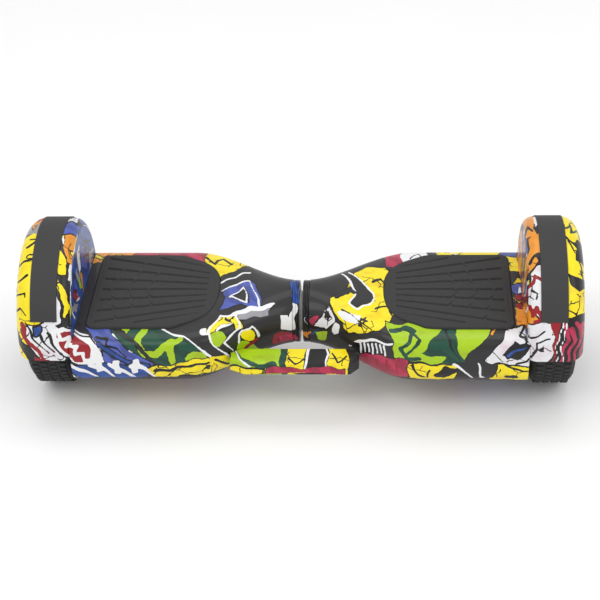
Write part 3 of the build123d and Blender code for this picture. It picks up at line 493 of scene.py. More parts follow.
def left_print() -> list[Patch | Stroke]:
    """The artwork of the left half, from its fender to the waist."""
    i = Ink
    art: list[Patch | Stroke] = [
        box(i.YELLOW, -300, 30, -262, 146, 2, 1),
        blob(i.GREY, -280, 158, 20, 12, 4),
        Patch(i.BLACK, ((-300, 50), (-286, 40), (-280, 18), (-262, 4), (-276, 2), (-292, 22)), 1),
        Patch(i.YELLOW, ((-298, 26), (-286, 20), (-278, 8), (-284, 2), (-296, 10)), 1),
        Patch(i.YELLOW, ((-250, 160), (-234, 158), (-230, 138), (-240, 134), (-250, 146)), 1),
        Patch(i.YELLOW, ((-252, 128), (-242, 124), (-236, 102), (-244, 98), (-252, 112)), 1),
        Patch(i.YELLOW, ((-252, 98), (-240, 96), (-233, 66), (-236, 50), (-242, 76)), 1),
        Stroke(i.PAPER, ((-250, 146), (-240, 132), (-235, 112), (-234, 98)), 1.4, 0.9),
        Patch(i.WHITE, ((-262, 90), (-250, 86), (-242, 70), (-238, 50), (-262, 44)), 2),
        Stroke(i.GREY, ((-256, 82), (-248, 68), (-250, 52)), 1.6, 0.9),
        Patch(i.WHITE, ((-288, 50), (-240, 52), (-236, 8), (-262, 6), (-274, 26)), 1),
        Stroke(i.WINE, ((-284, 50), (-278, 36), (-266, 22), (-262, 10)), 2.8, 1.4),
        Stroke(i.WINE, ((-272, 16), (-264, 10), (-258, 12)), 2.2, 1.0),
        Stroke(i.BLACK, ((-280, 52), (-270, 36), (-256, 20)), 0.9, 0.6),
        Stroke(i.BLACK, ((-272, 50), (-262, 36), (-250, 20)), 0.9, 0.6),
        blob(i.BLUE, -268, 45, 5, 6, 3),
        Patch(i.PAPER, ((-258, 42), (-236, 48), (-214, 38), (-203, 22), (-196, 8), (-224, 8), (-244, 20)), 2),
        Patch(i.WINE, ((-252, 40), (-236, 43), (-219, 33), (-211, 14), (-228, 10), (-242, 24)), 1),
        zigzag(i.PAPER, -248, 40, -214, 12, 3.2, 8, 1.7),
        Stroke(i.BLACK, ((-258, 40), (-244, 18), (-226, 7)), 1.1, 0.8),
        Stroke(i.BLACK, ((-238, 46), (-214, 36), (-200, 12)), 1.1, 0.8),
        Patch(
            i.SKY,
            (
                (-222, 48),
                (-194, 47),
                (-190, 38),
                (-176, 32),
                (-170, 22),
                (-150, 12),
                (-152, 6),
                (-198, 6),
                (-208, 30),
            ),
            0,
        ),
        Stroke(i.BLACK, ((-208, 36), (-196, 34), (-198, 27), (-186, 26), (-180, 18)), 1.3, 0.8),
        Stroke(i.BLUE, ((-206, 28), (-190, 18), (-176, 12)), 3.0, 2.0),
        Stroke(i.PAPER, ((-190, 40), (-178, 33), (-173, 23), (-152, 13)), 0.8, 0.6),
        Patch(
            i.DARK_GREEN,
            ((-198, 48), (-142, 48), (-126, 38), (-98, 22), (-92, 8), (-148, 8), (-170, 20), (-188, 40)),
            1,
        ),
        Patch(i.LIME, ((-194, 48), (-174, 48), (-176, 36)), 0),
        Stroke(i.LIME, ((-160, 48), (-164, 30), (-158, 18), (-146, 18), (-136, 30), (-122, 35)), 4.2, 3.4),
        Stroke(i.LIME, ((-132, 32), (-128, 10)), 5.0, 3.4),
        Patch(i.LIME, ((-120, 12), (-104, 24), (-94, 20), (-96, 8)), 1),
        Stroke(i.CHARCOAL, ((-186, 46), (-166, 30), (-150, 10)), 2.4, 1.6),
        Stroke(i.PAPER, ((-142, 46), (-118, 36), (-92, 18), (-78, 4)), 0.8, 0.7),
        box(i.BLUE, -243, -14, -156, 9),
        Patch(i.WHITE, ((-266, 10), (-246, 8), (-228, -12), (-256, -12)), 0),
        Patch(
            i.YELLOW,
            (
                (-158, 6),
                (-140, 9),
                (-118, 10),
                (-98, 16),
                (-78, 20),
                (-56, 8),
                (-46, 2),
                (-60, -8),
                (-108, -3),
                (-156, -6),
            ),
            1,
        ),
        Stroke(i.BLACK, ((-150, 2), (-130, 5), (-108, 6), (-92, 12)), 1.6, 0.8),
        Stroke(i.BLACK, ((-98, -2), (-80, 4), (-66, 0)), 1.2, 0.6),
        Stroke(i.BLACK, ((-86, 14), (-74, 8), (-60, 8)), 1.2, 0.6),
        box(i.BLACK, -164, -16, -98, -7, 3),
        Patch(i.ORANGE, ((-240, 116), (-190, 119), (-188, 150), (-244, 150)), 0),
        Stroke(i.YELLOW, ((-232, 128), (-216, 120), (-204, 126), (-192, 122)), 2.6, 1.6),
        Patch(i.CRIMSON, ((-190, 112), (-106, 112), (-104, 150), (-188, 150)), 0),
        Patch(i.YELLOW, ((-108, 108), (-92, 100), (-66, 108), (-60, 122), (-70, 150), (-108, 150)), 0),
        Stroke(i.BLACK, ((-106, 122), (-96, 116), (-88, 124), (-76, 116)), 1.5, 0.8),
        Patch(
            i.SKY,
            (
                (-84, 86),
                (-56, 96),
                (-50, 94),
                (-38, 68),
                (-48, 67),
                (-60, 70),
                (-70, 66),
                (-86, 65),
                (-78, 78),
            ),
            0,
        ),
        Patch(i.CHARCOAL, ((-72, 76), (-62, 86), (-52, 72), (-60, 74)), 0),
        Stroke(i.PAPER, ((-83, 86), (-57, 95), (-40, 69)), 0.6, 0.6),
        Stroke(i.PAPER, ((-73, 77), (-63, 87), (-54, 72), (-72, 77)), 0.5, 0.5),
        Stroke(i.PAPER, ((-90, 94), (-72, 99), (-54, 106)), 0.8, 0.6),
        Stroke(i.PAPER, ((-98, 42), (-84, 47), (-68, 56), (-50, 64), (-30, 66)), 3.0, 5.0),
        Stroke(i.GREY, ((-66, 55), (-50, 61), (-32, 63)), 2.6, 3.4),
        Patch(i.CHARCOAL, ((-28, 74), (-16, 70), (-18, 50), (-34, 52)), 1),
        Stroke(i.YELLOW, ((-90, 44), (-82, 54), (-68, 54), (-64, 46)), 4.4, 4.0),
        Patch(i.LIME, ((-90, 44), (-78, 44), (-72, 34), (-84, 26), (-92, 34)), 1),
        Stroke(i.PAPER, ((-92, 44), (-84, 59), (-66, 57), (-63, 44), (-76, 30), (-68, 20)), 0.9, 0.7),
        Stroke(i.PAPER, ((-92, 44), (-88, 30), (-74, 14)), 0.9, 0.7),
        Patch(i.YELLOW, ((-60, 44), (-52, 48), (-44, 38), (-52, 30), (-60, 34)), 1),
        Stroke(i.PAPER, ((-62, 30), (-60, 42), (-51, 49), (-43, 38)), 0.8, 0.6),
        Patch(i.LIME, ((-62, 32), (-50, 32), (-38, 22), (-30, 10), (-58, 8), (-66, 18)), 1),
        Patch(i.WINE, ((-30, 38), (-8, 41), (-5, 28), (-30, 28)), 0),
        Patch(i.CRIMSON, ((-26, 36), (-6, 40), (-3, 29), (-24, 29)), 0),
        Patch(i.PAPER, ((-19, 58), (-12, 58), (-7, 44), (-20, 42)), 0),
        box(i.PAPER, -10, 44, -5, 72),
        box(i.BLUE, -10, 72, -1, 100),
        box(i.BLACK, -5, 28, -1, 72),
        Stroke(i.WINE, ((-44, 36), (-60, 20), (-40, 8)), 1.2, 1.0),
    ]
    art += [
        Stroke(i.PAPER, ((-236 + 21 * k, 8), (-222 + 21 * k, 2), (-208 + 21 * k, -8)), 2.2, 1.0)
        for k in range(4)
    ]
    art += [box(i.PAPER, -208 + 18 * k, 0, -202 + 18 * k, 13, -1) for k in range(3)]
    art += [
        Stroke(
            i.BLACK, ((-296 + 3 * k, 60 + 18 * k), (-284 + 4 * k, 66 + 18 * k), (-279, 60 + 20 * k)), 1.1, 0.5
        )
        for k in range(5)
    ]
    art += [Stroke(i.WINE, ((-186 + 13 * k, 132), (-172 + 14 * k, 116)), 1.0, 0.5) for k in range(6)]
    art += [box(i.YELLOW, 328, 20, 340, 150, 2), box(i.BLUE, 339, -40, 440, 230)]
    art += [Stroke(i.PAPER, ((336, 222), (338, 180), (337, 130), (338, 90), (344, 60), (360, 50)), 1.6, 1.2)]
    art += [
        blob((i.GREY, i.PAPER, i.SKY)[k % 3], 364 + 7 * (k % 2), 66 + 19 * k, 15, 8, 4, k * 1.3)
        for k in range(8)
    ]
    art += [
        blob(i.LIME, 384, 122, 12, 8, 3),
        blob(i.CRIMSON, 364, 86, 14, 9, 5, 0.6),
        blob(i.ORANGE, 392, 140, 16, 7, 4),
    ]
    art += [zigzag(i.BLACK, 350, 70 + 19 * k, 372, 76 + 18 * k, 3.0, 5, 0.9) for k in range(8)]
    return art


def right_print() -> list[Patch | Stroke]:
    """The artwork of the right half, from the waist to its fender."""
    i = Ink
    art: list[Patch | Stroke] = [
        box(i.YELLOW, 262, 56, 300, 165, 0, 1),
        Patch(
            i.BLACK, ((272, 140), (284, 132), (280, 118), (290, 108), (298, 116), (298, 140), (286, 150)), 0
        ),
        Patch(i.BLACK, ((274, 104), (290, 98), (300, 104), (300, 92), (284, 86), (276, 92)), 0),
        blob(i.YELLOW, 286, 112, 8, 6, 4),
        Patch(i.BLACK, ((262, 58), (300, 62), (300, 6), (262, 8)), 0),
        Patch(i.CRIMSON, ((88, 112), (108, 112), (106, 150), (88, 150)), 0),
        Patch(i.PAPER, ((108, 112), (134, 112), (132, 150), (106, 150)), 0),
        Stroke(i.BLACK, ((118, 120), (124, 128), (130, 122), (124, 118)), 1.1, 0.7),
        Patch(i.YELLOW, ((146, 112), (214, 112), (216, 150), (140, 150)), 0),
        Stroke(i.BLACK, ((134, 132), (150, 122), (172, 126), (180, 116)), 1.8, 1.0),
        Stroke(i.PAPER, ((160, 130), (172, 122), (180, 118)), 0.7, 0.5),
        Patch(i.SKY, ((214, 122), (236, 122), (236, 150), (216, 150)), 0),
        Patch(i.YELLOW, ((218, 124), (242, 126), (242, 108), (222, 104)), 0),
        box(i.BLACK, 222, 96, 244, 106, -2),
        box(i.YELLOW, 224, 92, 244, 99, 2),
        box(i.SKY, 224, 82, 244, 93, -2, 1),
        box(i.PAPER, 230, 84, 238, 90, 2),
        box(i.WINE, 224, 66, 244, 82, 2),
        box(i.ORANGE, 224, 50, 244, 68, -3),
        Stroke(i.BLACK, ((224, 72), (230, 76), (234, 70)), 1.2, 0.8),
        Stroke(i.YELLOW, ((224, 78), (230, 74), (234, 79)), 1.0, 0.8),
        box(i.CHARCOAL, 234.5, 140, 263, 180),
        Patch(i.ORANGE, ((234, 142), (263, 146), (263, 110), (234, 106)), 0),
        Stroke(i.BLACK, ((237, 116), (244, 122), (248, 114), (242, 110)), 1.6, 1.0),
        Patch(i.WHITE, ((233, 106), (246, 112), (264, 108), (264, 60), (246, 50), (234, 66)), 1),
        Stroke(i.WINE, ((234, 90), (239, 101), (246, 94), (252, 106)), 2.0, 1.4),
        zigzag(i.WINE, 234, 66, 256, 58, 4.0, 6, 2.4),
        Stroke(i.BLACK, ((233, 104), (243, 111), (256, 108)), 0.9, 0.7),
        Stroke(i.BLACK, ((238, 86), (244, 82), (242, 76)), 0.9, 0.7),
        Patch(i.WINE, ((238, 56), (264, 54), (264, 26), (250, 20), (242, 40)), 0),
        Patch(
            i.YELLOW,
            (
                (30, 74),
                (46, 88),
                (56, 106),
                (70, 112),
                (92, 110),
                (104, 84),
                (98, 56),
                (84, 44),
                (64, 38),
                (46, 44),
                (36, 62),
            ),
            1,
        ),
        Patch(
            i.CHARCOAL,
            ((44, 112), (50, 96), (56, 84), (54, 74), (62, 67), (72, 70), (75, 80), (66, 92), (56, 104)),
            2,
        ),
        Stroke(
            i.PAPER,
            ((44, 108), (52, 94), (56, 82), (53, 73), (62, 65), (73, 69), (76, 80), (64, 94), (52, 108)),
            0.9,
            0.7,
        ),
        Stroke(i.CHARCOAL, ((40, 80), (50, 88), (56, 82)), 2.8, 1.2),
        Patch(i.PAPER, ((38, 66), (54, 62), (66, 58), (60, 50), (46, 54)), 1),
        Patch(i.CHARCOAL, ((90, 96), (104, 100), (104, 84), (94, 86)), 0),
        burst(i.BLACK, 66, 52, 7, 5, 6),
        burst(i.YELLOW, 66, 52, 2.5, 2, 5),
        Stroke(i.BLACK, ((44, 66), (56, 60), (66, 50), (74, 42)), 0.7, 0.5),
        Stroke(i.BLACK, ((76, 92), (86, 98), (94, 90), (100, 96)), 1.0, 0.6),
        Stroke(i.BLACK, ((80, 66), (90, 70), (98, 60)), 0.9, 0.5),
        Patch(
            i.WHITE,
            ((3, 76), (6, 62), (16, 52), (26, 64), (33, 70), (36, 54), (30, 42), (14, 44), (4, 54)),
            1,
        ),
        Patch(i.CRIMSON, ((8, 56), (18, 60), (17, 48), (11, 46)), 1),
        burst(i.BLACK, 27, 57, 5.5, 6.5, 5),
        Stroke(i.BLACK, ((3, 72), (7, 56), (14, 46), (30, 42)), 1.2, 0.8),
        Patch(i.PAPER, ((34, 52), (40, 50), (42, 40), (35, 38)), 1),
        blob(i.ORANGE, 7, 40, 5, 4, 3),
        Patch(i.LIME, ((16, 40), (30, 42), (28, 30), (20, 30)), 0),
        Stroke(i.BLUE, ((10, 38), (18, 42), (26, 44)), 1.4, 0.8),
        Stroke(i.PAPER, ((54, 30), (74, 33), (98, 31)), 1.6, 0.7),
        Stroke(i.BLACK, ((44, 36), (66, 26), (84, 12)), 2.0, 1.4),
        Patch(i.LIME, ((90, 54), (108, 50), (200, 48), (190, 36), (166, 10), (100, 12), (96, 30)), 0),
        Patch(i.DARK_GREEN, ((124, 20), (148, 47), (160, 47), (166, 18), (172, 8), (146, 10), (150, 18)), 0),
        Stroke(
            i.DARK_GREEN,
            ((96, 44), (108, 46), (120, 42), (114, 32), (104, 26), (112, 14), (124, 14)),
            2.4,
            1.8,
        ),
        Stroke(i.DARK_GREEN, ((112, 44), (126, 34), (110, 18)), 1.6, 1.4),
        Stroke(i.CHARCOAL, ((170, 10), (186, 24), (206, 46)), 2.0, 1.4),
        Stroke(i.ORANGE, ((196, 40), (206, 48)), 1.8, 1.2),
        Stroke(i.BLACK, ((150, 46), (164, 12)), 0.8, 0.6),
        Patch(i.CRIMSON, ((50, 14), (76, 20), (112, 15), (118, 2), (104, -14), (54, -10)), 1),
        Patch(i.YELLOW, ((114, 10), (140, 10), (162, 9), (162, -16), (112, -14)), 0),
        Stroke(i.BLACK, ((118, 8), (124, -2), (134, -6), (136, 4)), 1.1, 0.8),
        blob(i.BLACK, 152, 1, 9, 5.5, 4, 0.6),
        Patch(i.CHARCOAL, ((160, 10), (190, 10), (188, -14), (170, -10)), 0),
        Stroke(i.PAPER, ((158, 9), (170, 0), (186, -8)), 0.9, 0.7),
        Stroke(i.PAPER, ((184, 11), (186, -2), (196, -10)), 0.9, 0.7),
        Patch(i.YELLOW, ((194, -10), (206, 8), (226, 10), (264, 10), (262, -16), (196, -16)), 0),
        blob(i.BLACK, 220, -6, 9, 4, 4, 2.3),
        Stroke(i.BLACK, ((214, 8), (232, 3), (248, 6)), 0.9, 0.6),
        Patch(i.WHITE, ((188, 10), (204, 30), (216, 46), (240, 53), (262, 50), (260, 12), (234, 8)), 1),
        Patch(i.BLACK, ((208, 18), (220, 34), (228, 30), (236, 28), (224, 14)), 0),
        Stroke(i.BLUE, ((214, 18), (224, 26), (231, 29)), 2.4, 1.4),
        Stroke(i.BLACK, ((232, 50), (228, 40), (238, 36), (250, 42)), 1.2, 0.8),
        Stroke(i.BLACK, ((224, 10), (238, 18), (244, 32), (256, 34)), 1.0, 0.7),
        Stroke(i.WINE, ((256, 50), (264, 34), (258, 12)), 1.8, 1.0),
    ]
    art += [Stroke(i.PAPER, ((64 + 4 * k, 29), (66 + 4 * k, 19 + (k % 3))), 0.8, 0.6) for k in range(7)]
    art += [
        Stroke(i.CRIMSON, ((268 + 7 * k, 52 - 4 * (k % 2)), (274 + 7 * k, 36), (266 + 7 * k, 12)), 3.0, 1.6)
        for k in range(5)
    ]
    art += [Stroke(i.PAPER, ((267 + 1 * k, 56), (262 + 2 * k, 12)), 0.6, 0.5) for k in (0, 3)]
    art += [
        Stroke(i.BLACK, ((264 + 6 * k, 164 - 14 * k), (272 + 5 * k, 152 - 14 * k)), 1.0, 0.5)
        for k in range(6)
    ]
    art += [Stroke(i.WINE, ((60 + 11 * k, 14), (54 + 11 * k, -8)), 1.0, 0.5) for k in range(5)]
    art += [box(i.ORANGE, 328, -20 + 60 * k, 420, 14 + 60 * k, 8, 1) for k in range(5)]
    art += [box(i.WINE, 338, 14 + 60 * k, 420, 30 + 60 * k, -6, 1) for k in range(5)]
    art += [box(i.SKY, 336, 32 + 60 * k, 420, 42 + 60 * k, 4, 1) for k in range(4)]
    art += [
        Stroke(i.PAPER, ((334, 36 + 30 * k), (366, 28 + 30 * k), (408, 38 + 29 * k)), 2.0, 1.0)
        for k in range(8)
    ]
    art += [
        Stroke(i.BLACK, ((332, 24 + 24 * k), (360, 34 + 24 * k), (402, 24 + 24 * k)), 1.4, 0.8)
        for k in range(9)
    ]
    return art


def handle_print() -> list[Patch | Stroke]:
    """The artwork of the carry handle."""
    i = Ink
    return [
        box(i.LIME, -76, -40, -20, 60, 4),
        Stroke(i.DARK_GREEN, ((-74, 30), (-62, 14), (-44, 8), (-24, 8)), 1.6, 2.6),
        Stroke(i.PAPER, ((-70, 30), (-64, 14), (-52, 7)), 0.9, 0.6),
        Patch(i.DARK_GREEN, ((-22, -40), (-8, -40), (-6, 60), (-16, 60)), 0),
        box(i.YELLOW, -14, -40, 8, 60, 3, 0),
        Stroke(i.BLACK, ((-10, 14), (-2, 10), (6, 16)), 0.9, 0.6),
        box(i.BLACK, 8, -40, 30, 60, -3),
        Stroke(i.PAPER, ((6, 30), (9, 18), (8, 4)), 1.1, 1.0),
        Stroke(i.PAPER, ((24, 30), (28, 18), (29, 4)), 1.1, 1.0),
        box(i.YELLOW, 30, -40, 52, 60, -2),
        Stroke(i.BLACK, ((32, 20), (40, 12), (48, 18)), 0.8, 0.6),
        box(i.CHARCOAL, 54, -40, 80, 60, -2),
        box(i.YELLOW, -80, -60, -38, 5.5),
        box(i.CRIMSON, -38, -60, 46, 5.5, 2),
        Stroke(i.BLACK, ((-80, 6), (-38, 5)), 0.8, 0.8),
    ]


def far_side_print(seed: int) -> list[Patch | Stroke]:
    """Loose street-art splashes for the sides that face away, from a fixed seed."""
    pick = np.random.default_rng(seed)
    wide = [Ink.YELLOW, Ink.CRIMSON, Ink.ORANGE, Ink.BLUE, Ink.LIME, Ink.WHITE, Ink.SKY]
    thin = [Ink.BLACK, Ink.PAPER, Ink.DARK_GREEN, Ink.WINE]
    art: list[Patch | Stroke] = []
    for low, high in ((158.0, 235.0), (-170.0, -22.0)):
        for x in np.arange(20.0, 292.0, 26.0):
            for y in np.arange(low, high, 22.0):
                u, q = x + pick.uniform(-8, 8), y + pick.uniform(-7, 7)
                ink = wide[pick.integers(len(wide))]
                shape = burst if pick.random() < 0.35 else blob
                art.append(
                    shape(
                        ink,
                        u,
                        q,
                        pick.uniform(11, 22),
                        pick.uniform(8, 16),
                        int(pick.integers(4, 8)),
                        pick.uniform(0, 6),
                    ),
                )
                art.append(
                    zigzag(thin[pick.integers(4)], u - 9, q, u + 10, q + pick.uniform(-6, 6), 3.5, 5, 1.1)
                )
    return art


def mirrored(art: list[Patch | Stroke]) -> list[Patch | Stroke]:
    """Turns shapes drawn for the right half over to the left half."""
    return [
        type(shape)(**{**vars(shape), "points": tuple((-x, y) for x, y in shape.points)}) for shape in art
    ]


@dataclass
class Artwork:
    """Lays the print's shapes onto a mesh as one signed distance for each ink."""

    seam: float
    axle: float = 84.0
    fender: float = 233.0
    crown: float = 93.0
    wall_start: float = 330.0
    wall_depth: float = 6.0
    wall_rim: float = 8.0
    reach: float = 30.0
    attributes: tuple[str, ...] = ("print_a", "print_b", "print_c", "print_d")

    def unfold(self, body: "BodySurface", co: np.ndarray) -> tuple[np.ndarray, np.ndarray]:
        """Gives each point its place on the flat print.

        Args:
            body: the body's surface.
            co: points in millimetres.

        Returns:
            Places along the board and up the print.
        """
        x, y, z = co.T
        s, c = math.sin(SLANT), math.cos(SLANT)
        depth, rise, _ = body.size(np.abs(x), True)
        _, drop, _ = body.size(np.abs(x), False)
        top = body.seam + rise
        q = y * s + z * c
        q = np.where(y > 0, y * s + (2 * top - z) * c, q)
        under = (z < body.seam - 0.55 * drop) & (y <= 0)
        q = np.where(under, (-2 * depth - y) * s + z * c, q)
        on_wheel = (np.abs(x) >= self.fender - 0.2) & (z >= body.seam - 0.05)
        radius = np.hypot(y, z - self.axle)
        phi = np.arctan2(z - self.axle, -y) - SLANT
        phi = np.where(phi < -math.pi / 2 - 0.6, phi + 2 * math.pi, phi)
        around = np.where(phi <= math.pi / 2, np.sin(phi), 2 - np.sin(np.minimum(phi, math.pi * 1.2)))
        q = np.where(on_wheel, self.axle * c + self.crown * around, q)
        wall = on_wheel & (np.abs(x) < self.fender + self.wall_depth) & (radius < self.crown - self.wall_rim)
        u = np.where(wall, self.wall_start + self.crown - radius, x)
        return u, q

    def lay(self, mesh: bpy.types.Mesh, body: "BodySurface", shapes: list[Patch | Stroke]) -> None:
        """Writes the inks' distances to the mesh's attributes.

        Args:
            mesh: the mesh, in metres.
            body: the body's surface.
            shapes: what is printed, in the order of laying.
        """
        co = np.zeros(len(mesh.vertices) * 3)
        mesh.vertices.foreach_get("co", co)
        u, q = self.unfold(body, co.reshape(-1, 3) / MM)
        warp_u = 1.6 * np.sin(q / 6.1 + u / 17) + 0.8 * np.sin(q / 2.7 + u / 9)
        warp_q = 1.4 * np.sin(u / 7.3 + 1.3) + 0.7 * np.sin(u / 3.1 + q / 8)
        u, q = u + warp_u, q + warp_q
        inks = len(Ink) - 1
        fields = np.full((inks, len(u)), -FAR)
        for shape in shapes:
            outline = np.array(shape.points)
            low, high = outline.min(0) - self.reach, outline.max(0) + self.reach
            near = (u > low[0]) & (u < high[0]) & (q > low[1]) & (q < high[1])
            if not near.any():
                continue
            height = np.full(u.shape, -FAR)
            height[near] = shape.height(u[near], q[near])
            for ink in range(inks):
                if ink == shape.ink - 1:
                    fields[ink] = np.maximum(fields[ink], height)
                elif ink > shape.ink - 1:
                    fields[ink] = np.minimum(fields[ink], -height)
        for k, name in enumerate(self.attributes):
            mesh.attributes.new(name, "FLOAT_VECTOR", "POINT").data.foreach_set(
                "vector", fields[3 * k : 3 * k + 3].T.astype(np.float32).ravel()
            )

    def material(self) -> bpy.types.Material:
        """Builds the glossy print that reads the distances."""
        known = bpy.data.materials.get("street_print")
        if known:
            return known
        shade = Shade("street_print")
        colour: object = INKS[Ink.CHARCOAL]
        wobble = shade.ramp(shade.noise(230.0, 2.0), 0.3, 0.7, -0.45, 0.45)
        bent = shade.node("ShaderNodeVectorMath", operation="MULTIPLY_ADD")
        drift = shade.node("ShaderNodeTexNoise", Scale=60.0, Detail=2.0)
        shade.link(shade.place(), drift.inputs["Vector"])
        shade.link(drift.outputs["Color"], bent.inputs[0])
        bent.inputs[1].default_value = (0.014, 0.014, 0.014)
        shade.link(shade.place(), bent.inputs[2])
        cracks = shade.node("ShaderNodeTexVoronoi", feature="DISTANCE_TO_EDGE", Scale=58.0)
        shade.link(bent.outputs[0], cracks.inputs["Vector"])
        streaks = shade.node(
            "ShaderNodeTexWave", Scale=26.0, Distortion=5.0, Detail=2.0, bands_direction="DIAGONAL"
        )
        shade.link(bent.outputs[0], streaks.inputs["Vector"])
        patchy = shade.math("GREATER_THAN", shade.noise(48.0, 1.0), 0.53)
        thin = shade.math("MULTIPLY", shade.math("LESS_THAN", cracks.outputs["Distance"], 0.026), patchy)
        line = shade.ramp(streaks.outputs["Fac"], 0.45, 0.8, 0.0, 0.55)
        halftone = shade.ramp(shade.noise(70.0, 4.0), 0.50, 0.72, 0.0, 0.5)
        for k, name in enumerate(self.attributes):
            reader = shade.node("ShaderNodeAttribute", attribute_name=name)
            split = shade.node("ShaderNodeSeparateXYZ")
            shade.link(reader.outputs["Vector"], split.inputs[0])
            for axis in range(3):
                ink = Ink(3 * k + axis + 1)
                sway = wobble
                if ink in (Ink.BLACK, Ink.PAPER):
                    sway = shade.ramp(wobble, -0.45, 0.45, 0.0, 0.4)
                edge = shade.math("ADD", split.outputs[axis], sway)
                fill: object = INKS[ink]
                if ink in MOTTLED:
                    deep = (INKS[ink][0] * 0.8, INKS[ink][1] * 0.55, INKS[ink][2] * 0.6)
                    fill = shade.mix(halftone, fill, deep)
                if ink in CRACKED:
                    fill = shade.mix(thin, fill, INKS[Ink.BLACK])
                if ink in STREAKED:
                    deep = tuple(v * 0.4 for v in INKS[ink])
                    fill = shade.mix(line, fill, deep)
                colour = shade.mix(shade.math("GREATER_THAN", edge, 0.0), colour, fill)
                if ink in OUTLINED:
                    rim = shade.math("LESS_THAN", shade.math("ABSOLUTE", edge), OUTLINED[ink])
                    colour = shade.mix(rim, colour, INKS[Ink.BLACK])
        shade.link(colour, shade.bsdf.inputs["Base Color"])
        shade.surface(Roughness=0.42, Specular_IOR_Level=0.3, Coat_Weight=0.28, Coat_Roughness=0.1)
        shade.bump(shade.noise(420.0, 2.0), 0.00004, 0.25)
        return shade.material


# ------------------------------------------------------------------ mesh helpers


def piece(name: str, mesh: bpy.types.Mesh) -> bpy.types.Object:
    """Puts a mesh into the scene as a piece at the origin.

    Args:
        name: the piece's name.
        mesh: its mesh, in metres.

    Returns:
        The new object.
    """
    made = bpy.data.objects.new(name, mesh)
    bpy.context.scene.collection.objects.link(made)
    return made


def raw_mesh(
    name: str, points: np.ndarray, faces: list[tuple[int, ...]], smooth: float = 35.0
) -> bpy.types.Mesh:
    """Makes a mesh from points in millimetres, with outward normals.

    Args:
        name: the mesh's name.
        points: the corners.
        faces: the corners of each face.
        smooth: the sharpest angle that is still shaded smooth, in degrees.

    Returns:
        The mesh.
    """
    mesh = bpy.data.meshes.new(name)
    mesh.from_pydata((np.asarray(points) * MM).tolist(), [], faces)
    form = bmesh.new()
    form.from_mesh(mesh)
    bmesh.ops.remove_doubles(form, verts=form.verts, dist=WELD)
    bmesh.ops.recalc_face_normals(form, faces=form.faces)
    form.to_mesh(mesh)
    form.free()
    mesh.shade_smooth()
    mesh.set_sharp_from_angle(angle=math.radians(smooth))
    return mesh


def turned(
    name: str, outline: list[Point], centre: float, axle: float, steps: int = 128, smooth: float = 35.0
) -> bpy.types.Mesh:
    """Turns a closed outline about the axle.

    Args:
        name: the mesh's name.
        outline: (distance from the centre, radius) points, in order.
        centre: where the wheel's middle lies along the board.
        axle: the axle's height.
        steps: how many steps the turn has.
        smooth: the sharpest angle that is still shaded smooth, in degrees.

    Returns:
        The mesh.
    """
    turn = np.linspace(0, 2 * math.pi, steps, endpoint=False)
    rows = [
        np.stack(
            [np.full(steps, centre + x), -r * np.cos(turn), axle + r * np.sin(turn)], axis=1
        ) for x, r in outline
    ]
    faces = []
    for i in range(len(outline)):
        j = (i + 1) % len(outline)
        for k in range(steps):
            m = (k + 1) % steps
            faces.append((i * steps + k, j * steps + k, j * steps + m, i * steps + m))
    return raw_mesh(name, np.concatenate(rows), faces, smooth)


def smooth_copy(node: bpy.types.Object, name: str, angle: float = 32.0) -> bpy.types.Object:
    """Copies a CAD node's mesh, joined up and shaded smooth.

    Args:
        node: the CAD node's object.
        name: the new piece's name.
        angle: the sharpest angle that is still shaded smooth, in degrees.

    Returns:
        The new piece.
    """
    mesh = node.data.copy()
    mesh.name = name
    form = bmesh.new()
    form.from_mesh(mesh)
    bmesh.ops.remove_doubles(form, verts=form.verts, dist=WELD)
    form.to_mesh(mesh)
    form.free()
    mesh.shade_smooth()
    mesh.set_sharp_from_angle(angle=math.radians(angle))
    mesh.materials.clear()
    return piece(name, mesh)


def finished(
    made: bpy.types.Object, material: bpy.types.Material, body: str, slot: str, *nodes: str
) -> bpy.types.Object:
    """Dresses a piece, seats it on its body and reports it.

    Args:
        made: the piece.
        material: its material.
        body: the body that it moves with.
        slot: the record's material slot; not used.
        nodes: the CAD nodes that it stands for.

    Returns:
        The same piece.
    """
    made.data.materials.clear()
    made.data.materials.append(material)
    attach(made, body)
    if nodes:
        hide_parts(*nodes)
    LOG.info("%s: %d faces on %s", made.name, len(made.data.polygons), body)
    return made


# ------------------------------------------------------------------ printed shells


